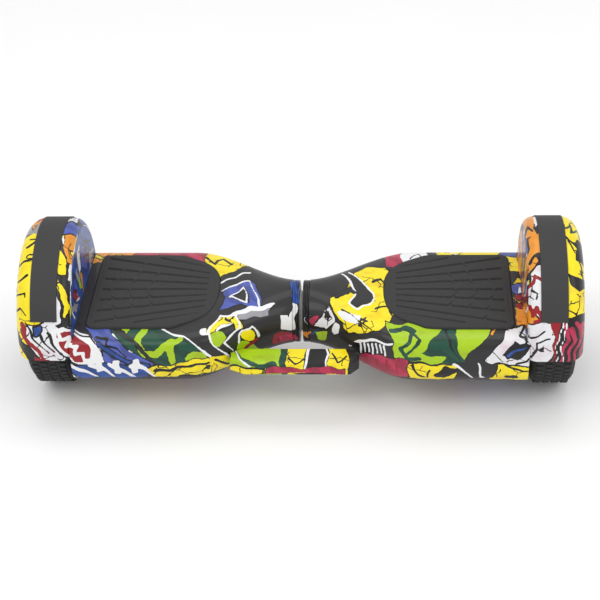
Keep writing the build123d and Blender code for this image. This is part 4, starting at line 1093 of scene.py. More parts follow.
@dataclass
class BodySurface:
    """The smooth outer surface of one half: rounded sections that swell from the waist to the deck."""

    seam: float = 75.0
    deck: float = 101.0
    belly: float = 30.0
    half_depth: float = 91.5
    neck: float = 33.0
    waist: float = 120.0
    deck_square: float = 5.0
    belly_square: float = 3.2
    axle: float = 84.0
    fender_x: float = 233.0
    crown: float = 93.0
    lip: float = 69.0
    half_length: float = 292.0
    shoulder: float = 12.0
    edge: float = 18.5

    def size(self, x: np.ndarray, up: bool) -> tuple[np.ndarray, np.ndarray, np.ndarray]:
        """Half depth, rise and fullness of the section at each place.

        Args:
            x: distances from the waist.
            up: whether the upper or the lower half is asked for.

        Returns:
            Three arrays.
        """
        t = np.clip(x / self.waist, 0, 1)
        share = t * t * (3 - 2 * t)
        far = self.deck - self.seam if up else self.seam - self.belly
        square = 2 + ((self.deck_square if up else self.belly_square) - 2) * share
        return (
            self.neck + (self.half_depth - self.neck) * share,
            self.neck + (far - self.neck) * share,
            (8 * 2 ** (-1 / square) - 4) / 3,
        )

    def point(self, x: np.ndarray, t: np.ndarray, up: bool) -> tuple[np.ndarray, np.ndarray]:
        """Distance from the middle and from the seam, along one quarter of the section.

        Args:
            x: distances from the waist.
            t: 0 at the seam, 1 at the top or bottom.
            up: whether the upper or the lower half is asked for.

        Returns:
            Two arrays.
        """
        depth, rise, full = self.size(x, up)
        a, b, c, d = (1 - t) ** 3, 3 * t * (1 - t) ** 2, 3 * t * t * (1 - t), t**3
        return depth * (a + b + c * full), rise * (b * full + c + d)

    def body_normals(self, co: np.ndarray, up: bool) -> tuple[np.ndarray, np.ndarray]:
        """Normals of the body's surface nearest to each point, and how far off the point is.

        Args:
            co: points in millimetres.
            up: whether they lie in the upper or the lower half.

        Returns:
            Unit normals and distances in millimetres.
        """
        x, y, z = np.abs(co[:, 0]), np.abs(co[:, 1]), np.abs(co[:, 2] - self.seam)
        depth, rise, _ = self.size(x, up)
        low, high = np.zeros_like(x), np.ones_like(x)
        for _ in range(26):
            t = (low + high) / 2
            py, pz = self.point(x, t, up)
            past = np.arctan2(pz / rise, py / depth) < np.arctan2(z / rise, y / depth)
            low, high = np.where(past, t, low), np.where(past, high, t)
        py, pz = self.point(x, t, up)
        e = 0.01
        ty, tz = (np.array(self.point(x, t + e, up)) - np.array(self.point(x, t - e, up))) / (2 * e)
        xy, xz = (np.array(self.point(x + 0.5, t, up)) - np.array(self.point(np.maximum(x - 0.5, 0), t, up)))
        normal = np.stack([-(tz * xy - ty * xz), tz, -ty], axis=1)
        normal /= np.maximum(np.linalg.norm(normal, axis=1, keepdims=True), 1e-9)
        normal *= np.stack(
            [np.sign(co[:, 0]), np.sign(co[:, 1] + 1e-9), np.full(len(x), 1.0 if up else -1.0)], axis=1
        )
        return normal, np.hypot(py - y, pz - z)

    def fender_normals(self, co: np.ndarray) -> tuple[np.ndarray, np.ndarray]:
        """Normals of the fender's surface nearest to each point, and how far off the point is.

        Args:
            co: points in millimetres.

        Returns:
            Unit normals and distances in millimetres.
        """
        x = np.abs(co[:, 0])
        y, z = co[:, 1], co[:, 2] - self.axle
        r = np.maximum(np.hypot(y, z), 1e-6)
        inner_x, outer_x = self.fender_x + self.shoulder, self.half_length - self.edge
        low = self.crown - self.shoulder
        nx, nr = np.zeros_like(x), np.ones_like(x)
        off = np.abs(r - self.crown)
        a = (x < inner_x) & (r > low)
        nx, nr = np.where(a, x - inner_x, nx), np.where(a, r - low, nr)
        off = np.where(a, np.abs(np.hypot(x - inner_x, r - low) - self.shoulder), off)
        b = (x < inner_x) & (r <= low)
        nx, nr = np.where(b, -1.0, nx), np.where(b, 0.0, nr)
        off = np.where(b, np.abs(x - self.fender_x), off)
        c = x > outer_x
        rise = self.crown - self.lip
        ex, er = (x - outer_x) / self.edge, (r - self.lip) / rise
        nx, nr = np.where(c, ex / self.edge, nx), np.where(c, np.maximum(er, 0) / rise, nr)
        off = np.where(c, np.abs(np.hypot(ex, er) - 1) * self.edge, off)
        normal = np.stack([nx * np.sign(co[:, 0]), nr * y / r, nr * z / r], axis=1)
        return normal / np.maximum(np.linalg.norm(normal, axis=1, keepdims=True), 1e-9), off


@dataclass
class PrintedPiece:
    """A glossy printed moulding, copied finely from its CAD node so that it can carry the print."""

    node: str
    step: float = 2.0
    on_body: bool = True
    up: bool = True
    skin: float = 0.8
    cover: float = 0.9
    alike: float = 0.8
    cuts: int = 9

    def fine_mesh(self, source: bpy.types.Object, surface: BodySurface) -> bpy.types.Mesh:
        """Copies the node's mesh and cuts its outer faces finely.

        Args:
            source: the CAD node's object.
            surface: the body's surface.

        Returns:
            The mesh.
        """
        mesh = source.data.copy()
        mesh.name = f"{self.node}_print"
        form = bmesh.new()
        form.from_mesh(mesh)
        bmesh.ops.remove_doubles(form, verts=form.verts, dist=2e-6)
        bmesh.ops.dissolve_degenerate(form, edges=form.edges, dist=WELD)
        for _ in range(self.cuts):
            co = np.array([v.co for v in form.verts]) / MM
            outer = self.offset(co, surface) < self.skin
            for i, v in enumerate(form.verts):
                v.index = i
            cut = [
                e
                for e in form.edges
                if outer[e.verts[0].index] and outer[e.verts[1].index] and e.calc_length() > self.step * MM
            ]
            if not cut:
                break
            bmesh.ops.subdivide_edges(form, edges=cut, cuts=1)
            bmesh.ops.triangulate(form, faces=[f for f in form.faces if len(f.verts) > 3])
        form.to_mesh(mesh)
        form.free()
        return mesh

    def offset(self, co: np.ndarray, surface: BodySurface) -> np.ndarray:
        """How far each point is from the outer surface, in millimetres."""
        if not self.on_body:
            return np.zeros(len(co))
        _, near = surface.body_normals(co, self.up)
        _, fender = surface.fender_normals(co)
        if not self.up:
            return near
        x = np.abs(co[:, 0])
        return np.where(
            x >= surface.fender_x - 0.1, np.minimum(fender, near + 50 * (x > surface.fender_x + 3)), near
        )

    def polish(self, mesh: bpy.types.Mesh, surface: BodySurface) -> None:
        """Gives the outer faces the true surface's normals and leaves the rest as cut.

        Args:
            mesh: the mesh to polish.
            surface: the body's surface.
        """
        co = np.zeros(len(mesh.vertices) * 3)
        mesh.vertices.foreach_get("co", co)
        co = co.reshape(-1, 3) / MM
        body_n, body_d = surface.body_normals(co, self.up)
        fend_n, fend_d = surface.fender_normals(co)
        corner = np.zeros(len(mesh.loops), int)
        mesh.loops.foreach_get("vertex_index", corner)
        flat = np.zeros(len(mesh.polygons) * 3)
        mesh.polygons.foreach_get("normal", flat)
        flat = np.repeat(flat.reshape(-1, 3), 3, axis=0)
        centre = np.zeros(len(mesh.polygons) * 3)
        mesh.polygons.foreach_get("center", centre)
        at_wheel = np.repeat(np.abs(centre.reshape(-1, 3)[:, 0]) / MM >= surface.fender_x - 0.05, 3) & self.up
        normal = flat.copy()
        for truth, off, here in ((body_n, body_d, ~at_wheel), (fend_n, fend_d, at_wheel)):
            close = here & (off[corner] < self.cover) & ((truth[corner] * flat).sum(axis=1) > self.alike)
            normal = np.where(close[:, None], truth[corner], normal)
        mesh.shade_smooth()
        mesh.normals_split_custom_set(normal.tolist())

    def build(
        self,
        frame: dict,
        body: str,
        slot: str,
        surface: BodySurface,
        art: Artwork,
        shapes: list[Patch | Stroke],
    ) -> None:
        """Makes the printed piece.

        Args:
            frame: the loaded frame.
            body: the body that the piece moves with.
            slot: the record's material slot.
            surface: the body's surface.
            art: the print.
            shapes: what is printed on this piece.
        """
        mesh = self.fine_mesh(frame["nodes"][self.node], surface)
        art.lay(mesh, surface, shapes)
        if self.on_body:
            self.polish(mesh, surface)
        else:
            mesh.shade_smooth()
            mesh.set_sharp_from_angle(angle=math.radians(30))
        made = piece(f"printed_{self.node}", mesh)
        finished(made, art.material(), body, slot, self.node)


# ------------------------------------------------------------------ foot pads


@dataclass
class FootPad:
    """A rubber pad: fan grooves that open out from the waist end, broken by three rows of short cuts."""

    hand: int
    top: float = 103.0
    bottom: float = 98.0
    tip: float = 87.0
    end: float = 222.0
    groove: float = 2.2
    rim: float = 2.4
    fan: tuple[float, float] = (10.6, 20.4)
    fan_x: Point = (101.0, 212.0)
    breaks: tuple[float, ...] = (163.0, 183.5, 203.5)
    columns: int = 230
    rows: int = 230

    @property
    def side(self) -> str:
        """The side's name."""
        return "left" if self.hand < 0 else "right"

    def outline(self, node: bpy.types.Object) -> np.ndarray:
        """Traces half the pad's outline from its CAD node, from the tip to the outer end.

        Args:
            node: the pad's CAD node.

        Returns:
            (distance from the waist, half width) points.
        """
        co = np.zeros(len(node.data.vertices) * 3)
        node.data.vertices.foreach_get("co", co)
        co = co.reshape(-1, 3) / MM
        co = co[co[:, 2] > self.bottom - 0.05]
        spots = sorted({(round(abs(x), 3), round(abs(y), 3)) for x, y, _ in co})
        chain: list[Point] = []
        for p in spots:
            while len(chain) > 1 and (chain[-1][0] - chain[-2][0]) * (p[1] - chain[-2][1]) >= (
                chain[-1][1] - chain[-2][1]
            ) * (p[0] - chain[-2][0]):
                chain.pop()
            chain.append(p)
        return np.array(chain)

    def cuts(self) -> list[tuple[float, float, float, float, float, float]]:
        """Lists the grooves as lines with a half width at each end."""
        lines = []
        near, far = self.fan_x

        def fan(k: int, x: float) -> float:
            """Where groove k lies across the pad at a place along it."""
            t = (x - near) / (far - near)
            return k * (self.fan[0] + (self.fan[1] - self.fan[0]) * t)

        for k in range(-3, 4):
            stops = [b - 0.20 * abs(fan(k, b)) for b in self.breaks]
            if abs(k) == 3:
                stops = stops[1:2] if k > 0 else stops[2:]
            places = [near, *stops, far]
            for i, (a, b) in enumerate(zip(places, places[1:])):
                a = a + (2.6 if i else 0.0)
                b = b - (2.2 if i < len(places) - 2 else 0.0)
                wa = 0.80 + 0.75 * (a - near) / (far - near)
                wb = 0.80 + 0.75 * (b - near) / (far - near)
                lines.append((a, fan(k, a), b, fan(k, b), wa, wb))
            for s in stops:
                side = 1.0 if k >= 0 else -1.0
                lines.append((s - 2.4, fan(k, s), s + 2.6, fan(k, s) - side * 6.0, 0.8, 0.5))
        for side in (-1.0, 1.0):
            lines.append((106.0, side * 45.0, 156.0 + 14.0 * (side < 0), side * 62.0, 0.4, 1.1))
        return lines

    def surface(self, x: np.ndarray, y: np.ndarray, line: np.ndarray) -> np.ndarray:
        """Height of the top at each place.

        Args:
            x: distances from the waist.
            y: places across the pad.
            line: half the pad's outline.

        Returns:
            Heights in millimetres.
        """
        depth = np.zeros_like(x)
        for x0, y0, x1, y1, w0, w1 in self.cuts():
            d = np.array([x1 - x0, y1 - y0])
            t = np.clip(((x - x0) * d[0] + (y - y0) * d[1]) / (d @ d), 0, 1)
            off = np.hypot(x - x0 - t * d[0], y - y0 - t * d[1])
            width = w0 + (w1 - w0) * t
            depth = np.maximum(depth, np.clip((width + 0.55 - off) / 1.1, 0, 1) * np.clip(width, 0.5, 1.0))
        whole = np.concatenate([line, line[::-1] * (1, -1)])
        edge = np.full(x.shape, 1e9)
        for a, b in zip(whole, np.roll(whole, -1, axis=0)):
            d = b - a
            t = np.clip(((x - a[0]) * d[0] + (y - a[1]) * d[1]) / max(d @ d, 1e-9), 0, 1)
            edge = np.minimum(edge, np.hypot(x - a[0] - t * d[0], y - a[1] - t * d[1]))
        round_off = self.rim - np.sqrt(np.maximum(self.rim**2 - np.maximum(self.rim - edge, 0) ** 2, 0))
        welt = 0.35 * np.clip((edge - 4.2) / 1.6, 0, 1)
        return self.top - 0.35 + welt - self.groove * depth * np.clip(
            (edge - 1.5) / 2.0, 0, 1
        ) - round_off * 0.85

    def mesh(self, node: bpy.types.Object) -> bpy.types.Mesh:
        """Builds the closed grooved pad.

        Args:
            node: the pad's CAD node.

        Returns:
            The mesh.
        """
        line = self.outline(node)
        t = np.linspace(0, 1, self.columns)
        ease = (1 - np.cos(np.pi * t)) / 2
        xs = self.tip + (self.end - self.tip) * (0.72 * t + 0.28 * ease)
        xs[0], xs[-1] = line[0][0] + 0.02, line[-1][0]
        width = np.interp(xs, line[:, 0], line[:, 1])
        v = np.linspace(-1, 1, self.rows)
        v = 0.86 * v + 0.14 * np.sin(v * np.pi / 2)
        gx = np.repeat(xs[:, None], self.rows, axis=1)
        gy = width[:, None] * v[None, :]
        gz = self.surface(gx.ravel(), gy.ravel(), line).reshape(gx.shape)
        top = np.stack([gx, gy, gz], axis=2).reshape(-1, 3)
        ring = [k * self.rows for k in range(self.columns)]
        ring += [(self.columns - 1) * self.rows + k for k in range(1, self.rows)]
        ring += [k * self.rows + self.rows - 1 for k in range(self.columns - 2, -1, -1)]
        ring += list(range(self.rows - 2, 0, -1))
        low = top[ring].copy()
        low[:, 2] = self.bottom
        middle = np.array([[(self.tip + self.end) / 2, 0.0, self.bottom]])
        points = [top, low, middle]
        faces = [
            (a, a + 1, a + self.rows + 1, a + self.rows)
            for i in range(self.columns - 1)
            for a in range(i * self.rows, (i + 1) * self.rows - 1)
        ]
        base, count = len(top), len(ring)
        for k in range(count):
            m = (k + 1) % count
            faces.append((ring[k], base + k, base + m, ring[m]))
            faces.append((base + k, base + count, base + m))
        whole = np.concatenate(points) * (self.hand, 1, 1)
        return raw_mesh(f"{self.side}_pad", whole, faces, 40.0)

    def material(self) -> bpy.types.Material:
        """Builds the pad's matt rubber with a fine leathery grain, and painted shade in the grooves."""
        known = bpy.data.materials.get("pad_rubber")
        if known:
            return known
        shade = Shade("pad_rubber")
        fine = shade.node("ShaderNodeTexVoronoi", Scale=780.0)
        shade.link(shade.place(), fine.inputs["Vector"])
        wear = shade.noise(26.0, 4.0)
        parts = shade.node("ShaderNodeSeparateXYZ")
        shade.link(shade.place(), parts.inputs[0])
        # Painted shade: the groove bottoms are coloured near black by height, darker than the rubber around
        # them.
        low, high = (self.top - self.groove) * MM, (self.top - 0.55) * MM
        groove_shade_ramp = shade.ramp(parts.outputs[2], low + 0.0002, high, 0.0, 1.0)
        rubber = shade.mix(wear, (0.008, 0.008, 0.009), (0.014, 0.014, 0.015))
        shade.link(shade.mix(groove_shade_ramp, (0.0015, 0.0015, 0.0016), rubber), shade.bsdf.inputs["Base Color"])
        shade.link(shade.ramp(wear, 0.3, 0.7, 0.5, 0.64), shade.bsdf.inputs["Roughness"])
        shade.surface(Specular_IOR_Level=0.35)
        shade.bump(fine.outputs["Distance"], 0.00012, 0.5)
        return shade.material

    def build(self, frame: dict) -> None:
        """Makes the pad and its plungers and seats them.

        Args:
            frame: the loaded frame.
        """
        node = f"{self.side}_foot_pad"
        source = frame["nodes"][node]
        pad = piece(f"{self.side}_grooved_pad", self.mesh(source))
        finished(pad, self.material(), f"{self.side}_pad", "pad_rubber", node)
        under = smooth_copy(source, f"{self.side}_pad_plungers")
        form = bmesh.new()
        form.from_mesh(under.data)
        above = [f for f in form.faces if max(v.co.z for v in f.verts) > (self.bottom + 0.02) * MM]
        bmesh.ops.delete(form, geom=above, context="FACES")
        form.to_mesh(under.data)
        form.free()
        if under.data.polygons:
            finished(under, self.material(), f"{self.side}_pad", "pad_rubber", node)
        else:
            bpy.data.objects.remove(under)


# ------------------------------------------------------------------ wheels


@dataclass
class TreadBlocks:
    """Rows of small tread blocks around a tyre, laid by Geometry Nodes."""

    count: int = 66
    columns: tuple[float, ...] = (-14.2, -4.7, 4.7, 14.2)
    base: float = 82.6
    length: float = 5.6
    breadth: float = 7.0
    height: float = 1.4
    taper: float = 0.84

    def tree(self, name: str, material: bpy.types.Material) -> bpy.types.NodeTree:
        """Builds the node tree with named inputs.

        Args:
            name: the tree's name.
            material: the rubber.

        Returns:
            The tree.
        """
        tree = bpy.data.node_groups.new(name, "GeometryNodeTree")
        face = tree.interface
        sizes = (
            ("Count", "NodeSocketInt", self.count),
            ("Centre", "NodeSocketFloat", 0.0),
            ("Axle Height", "NodeSocketFloat", 0.084),
            ("Base Radius", "NodeSocketFloat", self.base * MM),
            ("Block Length", "NodeSocketFloat", self.length * MM),
            ("Block Breadth", "NodeSocketFloat", self.breadth * MM),
            ("Block Height", "NodeSocketFloat", self.height * MM),
            ("Taper", "NodeSocketFloat", self.taper),
            ("Half Step", "NodeSocketFloat", 0.0),
        )
        for label, kind, value in sizes:
            face.new_socket(label, in_out="INPUT", socket_type=kind).default_value = value
        face.new_socket("Geometry", in_out="OUTPUT", socket_type="NodeSocketGeometry")
        put = tree.nodes.new
        join = tree.links.new
        start, finish = put("NodeGroupInput"), put("NodeGroupOutput")

        def sums(what: str, a: object, b: object = 0.0) -> bpy.types.NodeSocket:
            """Adds a math node on sockets or numbers."""
            made = put("ShaderNodeMath")
            made.operation = what
            for slot, value in zip(made.inputs, (a, b)):
                if isinstance(value, bpy.types.NodeSocket):
                    join(value, slot)
                else:
                    slot.default_value = value
            return made.outputs[0]

        given = {s.name: s for s in start.outputs if s.name}
        block = put("GeometryNodeMeshCube")
        shape = put("ShaderNodeCombineXYZ")
        for slot, label in zip(shape.inputs, ("Block Breadth", "Block Length", "Block Height")):
            join(given[label], slot)
        join(shape.outputs[0], block.inputs["Size"])
        for label in ("Vertices X", "Vertices Y", "Vertices Z"):
            block.inputs[label].default_value = 2
        where, parts = put("GeometryNodeInputPosition"), put("ShaderNodeSeparateXYZ")
        join(where.outputs[0], parts.inputs[0])
        high = sums("GREATER_THAN", parts.outputs[2], 0.0)
        pull = sums("ADD", sums("MULTIPLY", high, sums("SUBTRACT", given["Taper"], 1.0)), 1.0)
        drawn = put("ShaderNodeCombineXYZ")
        join(sums("MULTIPLY", parts.outputs[0], pull), drawn.inputs[0])
        join(sums("MULTIPLY", parts.outputs[1], pull), drawn.inputs[1])
        join(parts.outputs[2], drawn.inputs[2])
        tapered = put("GeometryNodeSetPosition")
        join(block.outputs["Mesh"], tapered.inputs["Geometry"])
        join(drawn.outputs[0], tapered.inputs["Position"])
        row = put("GeometryNodeMeshLine")
        join(given["Count"], row.inputs["Count"])
        number = put("GeometryNodeInputIndex")
        step = sums("DIVIDE", 2 * math.pi, given["Count"])
        angle = sums("MULTIPLY", sums("ADD", number.outputs[0], given["Half Step"]), step)
        spot = put("ShaderNodeCombineXYZ")
        join(given["Centre"], spot.inputs[0])
        join(
            sums("MULTIPLY", sums("SINE", angle), sums("MULTIPLY", given["Base Radius"], -1.0)),
            spot.inputs[1],
        )
        up = sums("MULTIPLY", sums("COSINE", angle), given["Base Radius"])
        join(sums("ADD", up, given["Axle Height"]), spot.inputs[2])
        ring = put("GeometryNodeSetPosition")
        join(row.outputs["Mesh"], ring.inputs["Geometry"])
        join(spot.outputs[0], ring.inputs["Position"])
        spin = put("ShaderNodeCombineXYZ")
        join(angle, spin.inputs[0])
        copies = put("GeometryNodeInstanceOnPoints")
        join(ring.outputs[0], copies.inputs["Points"])
        join(tapered.outputs[0], copies.inputs["Instance"])
        join(spin.outputs[0], copies.inputs["Rotation"])
        real, dress = put("GeometryNodeRealizeInstances"), put("GeometryNodeSetMaterial")
        join(copies.outputs[0], real.inputs[0])
        join(real.outputs[0], dress.inputs["Geometry"])
        dress.inputs["Material"].default_value = material
        join(dress.outputs[0], finish.inputs[0])
        return tree

    def rows(
        self, side: str, centre: float, axle: float, material: bpy.types.Material
    ) -> list[bpy.types.Mesh]:
        """Makes one plain mesh for each row of blocks.

        Args:
            side: the wheel's side.
            centre: the wheel's middle, in metres.
            axle: the axle's height, in metres.
            material: the rubber.

        Returns:
            The meshes.
        """
        tree = self.tree(f"{side}_tread", material)
        made = []
        for k, column in enumerate(self.columns):
            holder = piece(f"{side}_tread_row_{k}", bpy.data.meshes.new("row"))
            blocks = holder.modifiers.new("tread", "NODES")
            blocks.node_group = tree
            sockets = {s.name: s.identifier for s in tree.interface.items_tree if s.in_out == "INPUT"}
            blocks[sockets["Centre"]] = centre + column * MM
            blocks[sockets["Axle Height"]] = axle
            blocks[sockets["Half Step"]] = 0.5 * (k % 2)
            blocks[sockets["Count"]] = self.count
            bpy.context.view_layer.update()
            graph = bpy.context.evaluated_depsgraph_get()
            made.append(bpy.data.meshes.new_from_object(holder.evaluated_get(graph)))
            holder.modifiers.clear()
            bpy.data.objects.remove(holder)
        return made


@dataclass
class Wheel:
    """A hub-motor wheel's tyre: tread blocks and sidewalls with a moulded ring."""

    hand: int
    half_width: float = 22.5
    corner: float = 9.0
    skin: float = 81.9
    bore: float = 67.0
    tread: TreadBlocks = field(default_factory=TreadBlocks)

    @property
    def side(self) -> str:
        """The side's name."""
        return "left" if self.hand < 0 else "right"

    def rubber(self) -> bpy.types.Material:
        """Returns the tyre's dull black rubber."""
        return PLAIN["tyre_rubber"].material()

    def outline(self) -> list[Point]:
        """Gives the tyre's section, from one bead over the tread to the other."""
        w, c = self.half_width, self.corner
        side = [(-18.2, self.bore), (-w + 0.6, self.bore + 1.0), (-w, self.bore + 3.2), (-w, 74.0)]
        side += [(-w + 0.5, 74.3), (-w + 0.5, 75.4), (-w + 0.1, 75.7)]
        for k in range(7):
            a = math.pi / 2 * k / 6
            side.append((-w + c * (1 - math.cos(a)), self.skin - c + c * math.sin(a)))
        return side + [(-x, r) for x, r in reversed(side)]

    def build(self, frame: dict) -> None:
        """Makes the treaded tyre and dresses it.

        Args:
            frame: the loaded frame.
        """
        low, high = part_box(f"{self.side}_tyre")
        centre, axle = (low.x + high.x) / 2, (low.z + high.z) / 2
        carcass = turned(f"{self.side}_carcass", self.outline(), centre / MM, axle / MM, 160)
        form = bmesh.new()
        form.from_mesh(carcass)
        for row in self.tread.rows(self.side, centre, axle, self.rubber()):
            form.from_mesh(row)
            bpy.data.meshes.remove(row)
        form.to_mesh(carcass)
        form.free()
        tyre = piece(f"{self.side}_treaded_tyre", carcass)
        finished(tyre, self.rubber(), f"{self.side}_wheel", "tyre_rubber", f"{self.side}_tyre")


# ------------------------------------------------------------------ plain parts and finishes


PLAIN: dict[str, Finish] = {
    "satin_black": Finish("satin_black", (0.013, 0.013, 0.014), 0.38, scale=700.0, depth=0.00004),
    "cast_aluminium": Finish("cast_aluminium", (0.50, 0.50, 0.51), 0.46, 1.0, Grain.CAST, 480.0, 0.00014),
    "strap_steel": Finish("strap_steel", (0.42, 0.42, 0.43), 0.36, 1.0, Grain.CAST, 700.0),
    "bolt_steel": Finish("bolt_steel", (0.56, 0.56, 0.57), 0.28, 1.0, Grain.TURNED),
    "screw_black": Finish("screw_black", (0.035, 0.035, 0.037), 0.40, 0.6, Grain.TURNED),
    "board_green": Finish("board_green", (0.012, 0.13, 0.045), 0.34, scale=350.0, depth=0.00008),
    "bush_plastic": Finish("bush_plastic", (0.66, 0.64, 0.58), 0.45),
    "lamp_clear": Finish("lamp_lens", (0.62, 0.70, 0.80), 0.12, scale=260.0, depth=0.0001, coat=0.8),
    "tyre_rubber": Finish("tyre_rubber", (0.016, 0.016, 0.017), 0.62, scale=520.0, depth=0.00012),
    "rim_metal": Finish("rim_metal", (0.36, 0.36, 0.37), 0.34, 1.0, Grain.TURNED),
    "magnet_nickel": Finish("magnet_nickel", (0.62, 0.60, 0.56), 0.22, 1.0, Grain.CAST),
    "cover_metal": Finish("cover_metal", (0.10, 0.10, 0.105), 0.38, 0.8, Grain.CAST, 520.0, 0.0001),
    "bearing_steel": Finish("bearing_steel", (0.66, 0.66, 0.67), 0.18, 1.0, Grain.TURNED),
    "axle_steel": Finish("axle_steel", (0.52, 0.52, 0.53), 0.26, 1.0, Grain.TURNED),
    "lamination_steel": Finish("lamination_steel", (0.30, 0.30, 0.32), 0.42, 1.0, Grain.TURNED, 1500.0),
    "copper_wire": Finish("copper_wire", (0.66, 0.24, 0.09), 0.30, 1.0, Grain.WOUND, 1300.0, 0.00015),
    "tube_steel": Finish("tube_steel", (0.46, 0.46, 0.47), 0.30, 1.0, Grain.TURNED),
    "spring_steel": Finish("spring_steel", (0.32, 0.32, 0.34), 0.32, 1.0, Grain.CAST),
    "cable_black": Finish("cable_black", (0.02, 0.02, 0.021), 0.48, grain=Grain.WOUND, scale=1200.0),
    "grommet_rubber": Finish("grommet_rubber", (0.025, 0.025, 0.025), 0.6),
    "battery_wrap": Finish("battery_wrap", (0.03, 0.12, 0.34), 0.36, scale=60.0, depth=0.0003, coat=0.3),
    "sink_aluminium": Finish("sink_aluminium", (0.60, 0.60, 0.61), 0.40, 1.0, Grain.CAST, 620.0),
    "port_black": Finish("port_black", (0.018, 0.018, 0.019), 0.42),
    "cap_rubber": Finish("cap_rubber", (0.024, 0.024, 0.025), 0.58),
    "button_silver": Finish("button_silver", (0.70, 0.70, 0.71), 0.24, 1.0, Grain.TURNED),
}


@dataclass
class OuterParts:
    """The plain parts that show from outside: each is joined up and shaded smooth."""

    names: tuple[str, ...] = (
        "left_bumper_strip",
        "right_bumper_strip",
        "left_lamp_lens",
        "right_lamp_lens",
        "left_hub_covers",
        "right_hub_covers",
        "left_cover_screws",
        "right_cover_screws",
        "left_hub_rim",
        "right_hub_rim",
        "left_shell_screws",
        "right_shell_screws",
        "left_axle",
        "right_axle",
        "left_pivot_bushes",
        "right_pivot_bushes",
        "pivot_tube",
        "thrust_washer",
        "handle_screws",
        "charge_socket",
        "charge_port_cap",
        "power_button",
        "button_housing",
    )

    def build(self, frame: dict, owner: dict[str, str], slots: dict[str, str]) -> None:
        """Makes and dresses each plain part.

        Args:
            frame: the loaded frame.
            owner: the body of each node.
            slots: the material slot of each node.
        """
        for name in self.names:
            made = smooth_copy(frame["nodes"][name], f"{name}_smooth")
            finished(made, PLAIN[slots[name]].material(), owner[name], slots[name], name)


@dataclass
class InnerParts:
    """The parts inside the shells, which keep their CAD meshes."""

    def build(self, frame: dict, done: set[str], slots: dict[str, str]) -> None:
        """Gives every part that is still a CAD node its finish.

        Args:
            frame: the loaded frame.
            done: the nodes that other pieces stand for.
            slots: the material slot of each node.
        """
        for name, node in frame["nodes"].items():
            if name in done:
                continue
            node.data.materials.clear()
            node.data.materials.append(PLAIN[slots[name]].material())
            LOG.info("%s: %s", name, slots[name])


# ------------------------------------------------------------------ studio


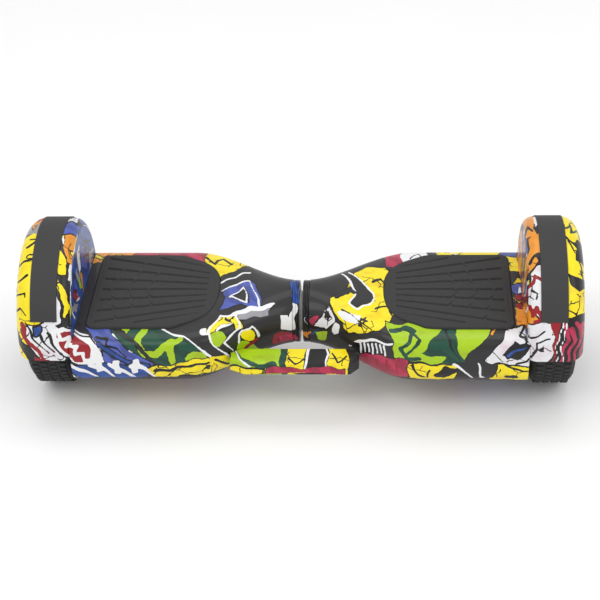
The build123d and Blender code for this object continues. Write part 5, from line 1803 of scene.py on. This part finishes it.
@dataclass
class Studio:
    """A pale floor, soft lights and the camera."""

    distance: float = 1.8
    azimuth: float = 3.88
    rise: float = 33.55
    roll: float = -2.13
    lens: float = 101.0
    aim_height: float = 0.080
    framing: Point = (-0.0022, 0.0074)
    floor_half: float = 6.0
    curve: float = 2.0
    back_height: float = 5.0
    sky: float = 0.80

    def floor(self) -> None:
        """Lays the pale floor, which curves up far behind the board."""
        h = self.floor_half
        points = []
        profile = [(-h, 0.0), (h * 0.5, 0.0)]
        for k in range(1, 13):
            a = math.pi / 2 * k / 12
            profile.append((h * 0.5 + self.curve * math.sin(a), self.curve * (1 - math.cos(a))))
        profile.append((h * 0.5 + self.curve, self.back_height))
        for x in (-h, h):
            points += [(x, y, z) for y, z in profile]
        n = len(profile)
        faces = [(k, n + k, n + k + 1, k + 1) for k in range(n - 1)]
        mesh = bpy.data.meshes.new("studio_floor")
        mesh.from_pydata(points, [], faces)
        mesh.shade_smooth()
        floor = piece("studio_floor", mesh)
        shade = Shade("studio_paper")
        paper = shade.mix(shade.noise(3.0, 2.0), (0.90, 0.90, 0.90), (0.93, 0.93, 0.93))
        shade.link(paper, shade.bsdf.inputs["Base Color"])
        shade.surface(Roughness=0.7)
        floor.data.materials.append(shade.material)

    def light(self, name: str, place: tuple[float, float, float], size: Point, power: float) -> None:
        """Hangs one soft light that looks at the board.

        Args:
            name: the light's name.
            place: where it hangs, in metres.
            size: its length and breadth.
            power: its power in watts.
        """
        lamp = bpy.data.lights.new(name, "AREA")
        lamp.shape, lamp.size, lamp.size_y, lamp.energy = "RECTANGLE", size[0], size[1], power
        hung = bpy.data.objects.new(name, lamp)
        hung.location = place
        hung.rotation_euler = (Vector((0, 0, 0.06)) - Vector(place)).to_track_quat("-Z", "Y").to_euler()
        bpy.context.scene.collection.objects.link(hung)

    def camera(self) -> None:
        """Sets the camera in front of the board and above it."""
        a, e, r = (math.radians(v) for v in (self.azimuth, self.rise, self.roll))
        back = Vector((math.sin(a) * math.cos(e), -math.cos(a) * math.cos(e), math.sin(e)))
        level = Vector((math.cos(a), math.sin(a), 0.0))
        upward = back.cross(level)
        across = level * math.cos(r) + upward * math.sin(r)
        upward = upward * math.cos(r) - level * math.sin(r)
        aim = Vector((0.0, 0.0, self.aim_height)) + across * self.framing[0] + upward * self.framing[1]
        lens = bpy.data.cameras.new("camera")
        lens.lens, lens.sensor_width = self.lens, 36.0
        eye = bpy.data.objects.new("camera", lens)
        turn = Matrix((across, upward, back)).transposed().to_4x4()
        eye.matrix_world = Matrix.Translation(aim + back * self.distance) @ turn
        bpy.context.scene.collection.objects.link(eye)
        bpy.context.scene.camera = eye

    def build(self) -> None:
        """Sets up the floor, the lights, the sky and the camera."""
        self.floor()
        self.light("key", (-0.9, -1.2, 2.0), (1.6, 1.2), 13.0)
        self.light("fill", (1.5, -0.9, 1.5), (1.4, 1.2), 8.0)
        self.light("top", (0.0, 0.7, 2.2), (2.2, 1.0), 10.0)
        bpy.context.scene.view_settings.view_transform = "Standard"
        world = bpy.data.worlds.new("studio_sky")
        world.use_nodes = True
        sky = world.node_tree.nodes["Background"]
        sky.inputs[0].default_value = (1.0, 1.0, 1.0, 1.0)
        sky.inputs[1].default_value = self.sky
        bpy.context.scene.world = world
        self.camera()


# ------------------------------------------------------------------ the whole board


def main() -> None:
    """Builds the board's looks on its frame, one sub-assembly after the other."""
    logging.basicConfig(level=logging.INFO, format="%(name)s %(message)s")
    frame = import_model()
    record = frame["record"]
    slots = {row["node"]: row["material_slot"] for row in record["subparts"]}
    owner = {node: body for body, nodes in record["behaviour"]["bodies"].items() for node in nodes}
    surface = BodySurface()
    art = Artwork(surface.seam)
    left, right = left_print() + mirrored(far_side_print(5)), right_print() + far_side_print(11)
    prints = [
        PrintedPiece("left_upper_shell"),
        PrintedPiece("left_lower_shell", up=False),
        PrintedPiece("right_upper_shell"),
        PrintedPiece("right_lower_shell", up=False),
        PrintedPiece("left_waist_ring", SMALL_STEP, False),
        PrintedPiece("right_waist_ring", SMALL_STEP, False),
        PrintedPiece("handle", SMALL_STEP, False),
    ]
    for part in prints:
        name = part.node
        shapes = handle_print() if name == "handle" else left if name.startswith("left") else right
        part.build(frame, owner[name], slots[name], surface, art, shapes)
    for hand in (-1, 1):
        FootPad(hand).build(frame)
        Wheel(hand).build(frame)
    outer = OuterParts()
    outer.build(frame, owner, slots)
    done = {part.node for part in prints} | set(outer.names)
    done |= {f"{side}_{name}" for side in ("left", "right") for name in ("foot_pad", "tyre")}
    InnerParts().build(frame, done, slots)
    Studio().build()


if __name__ == "__main__":
    main()
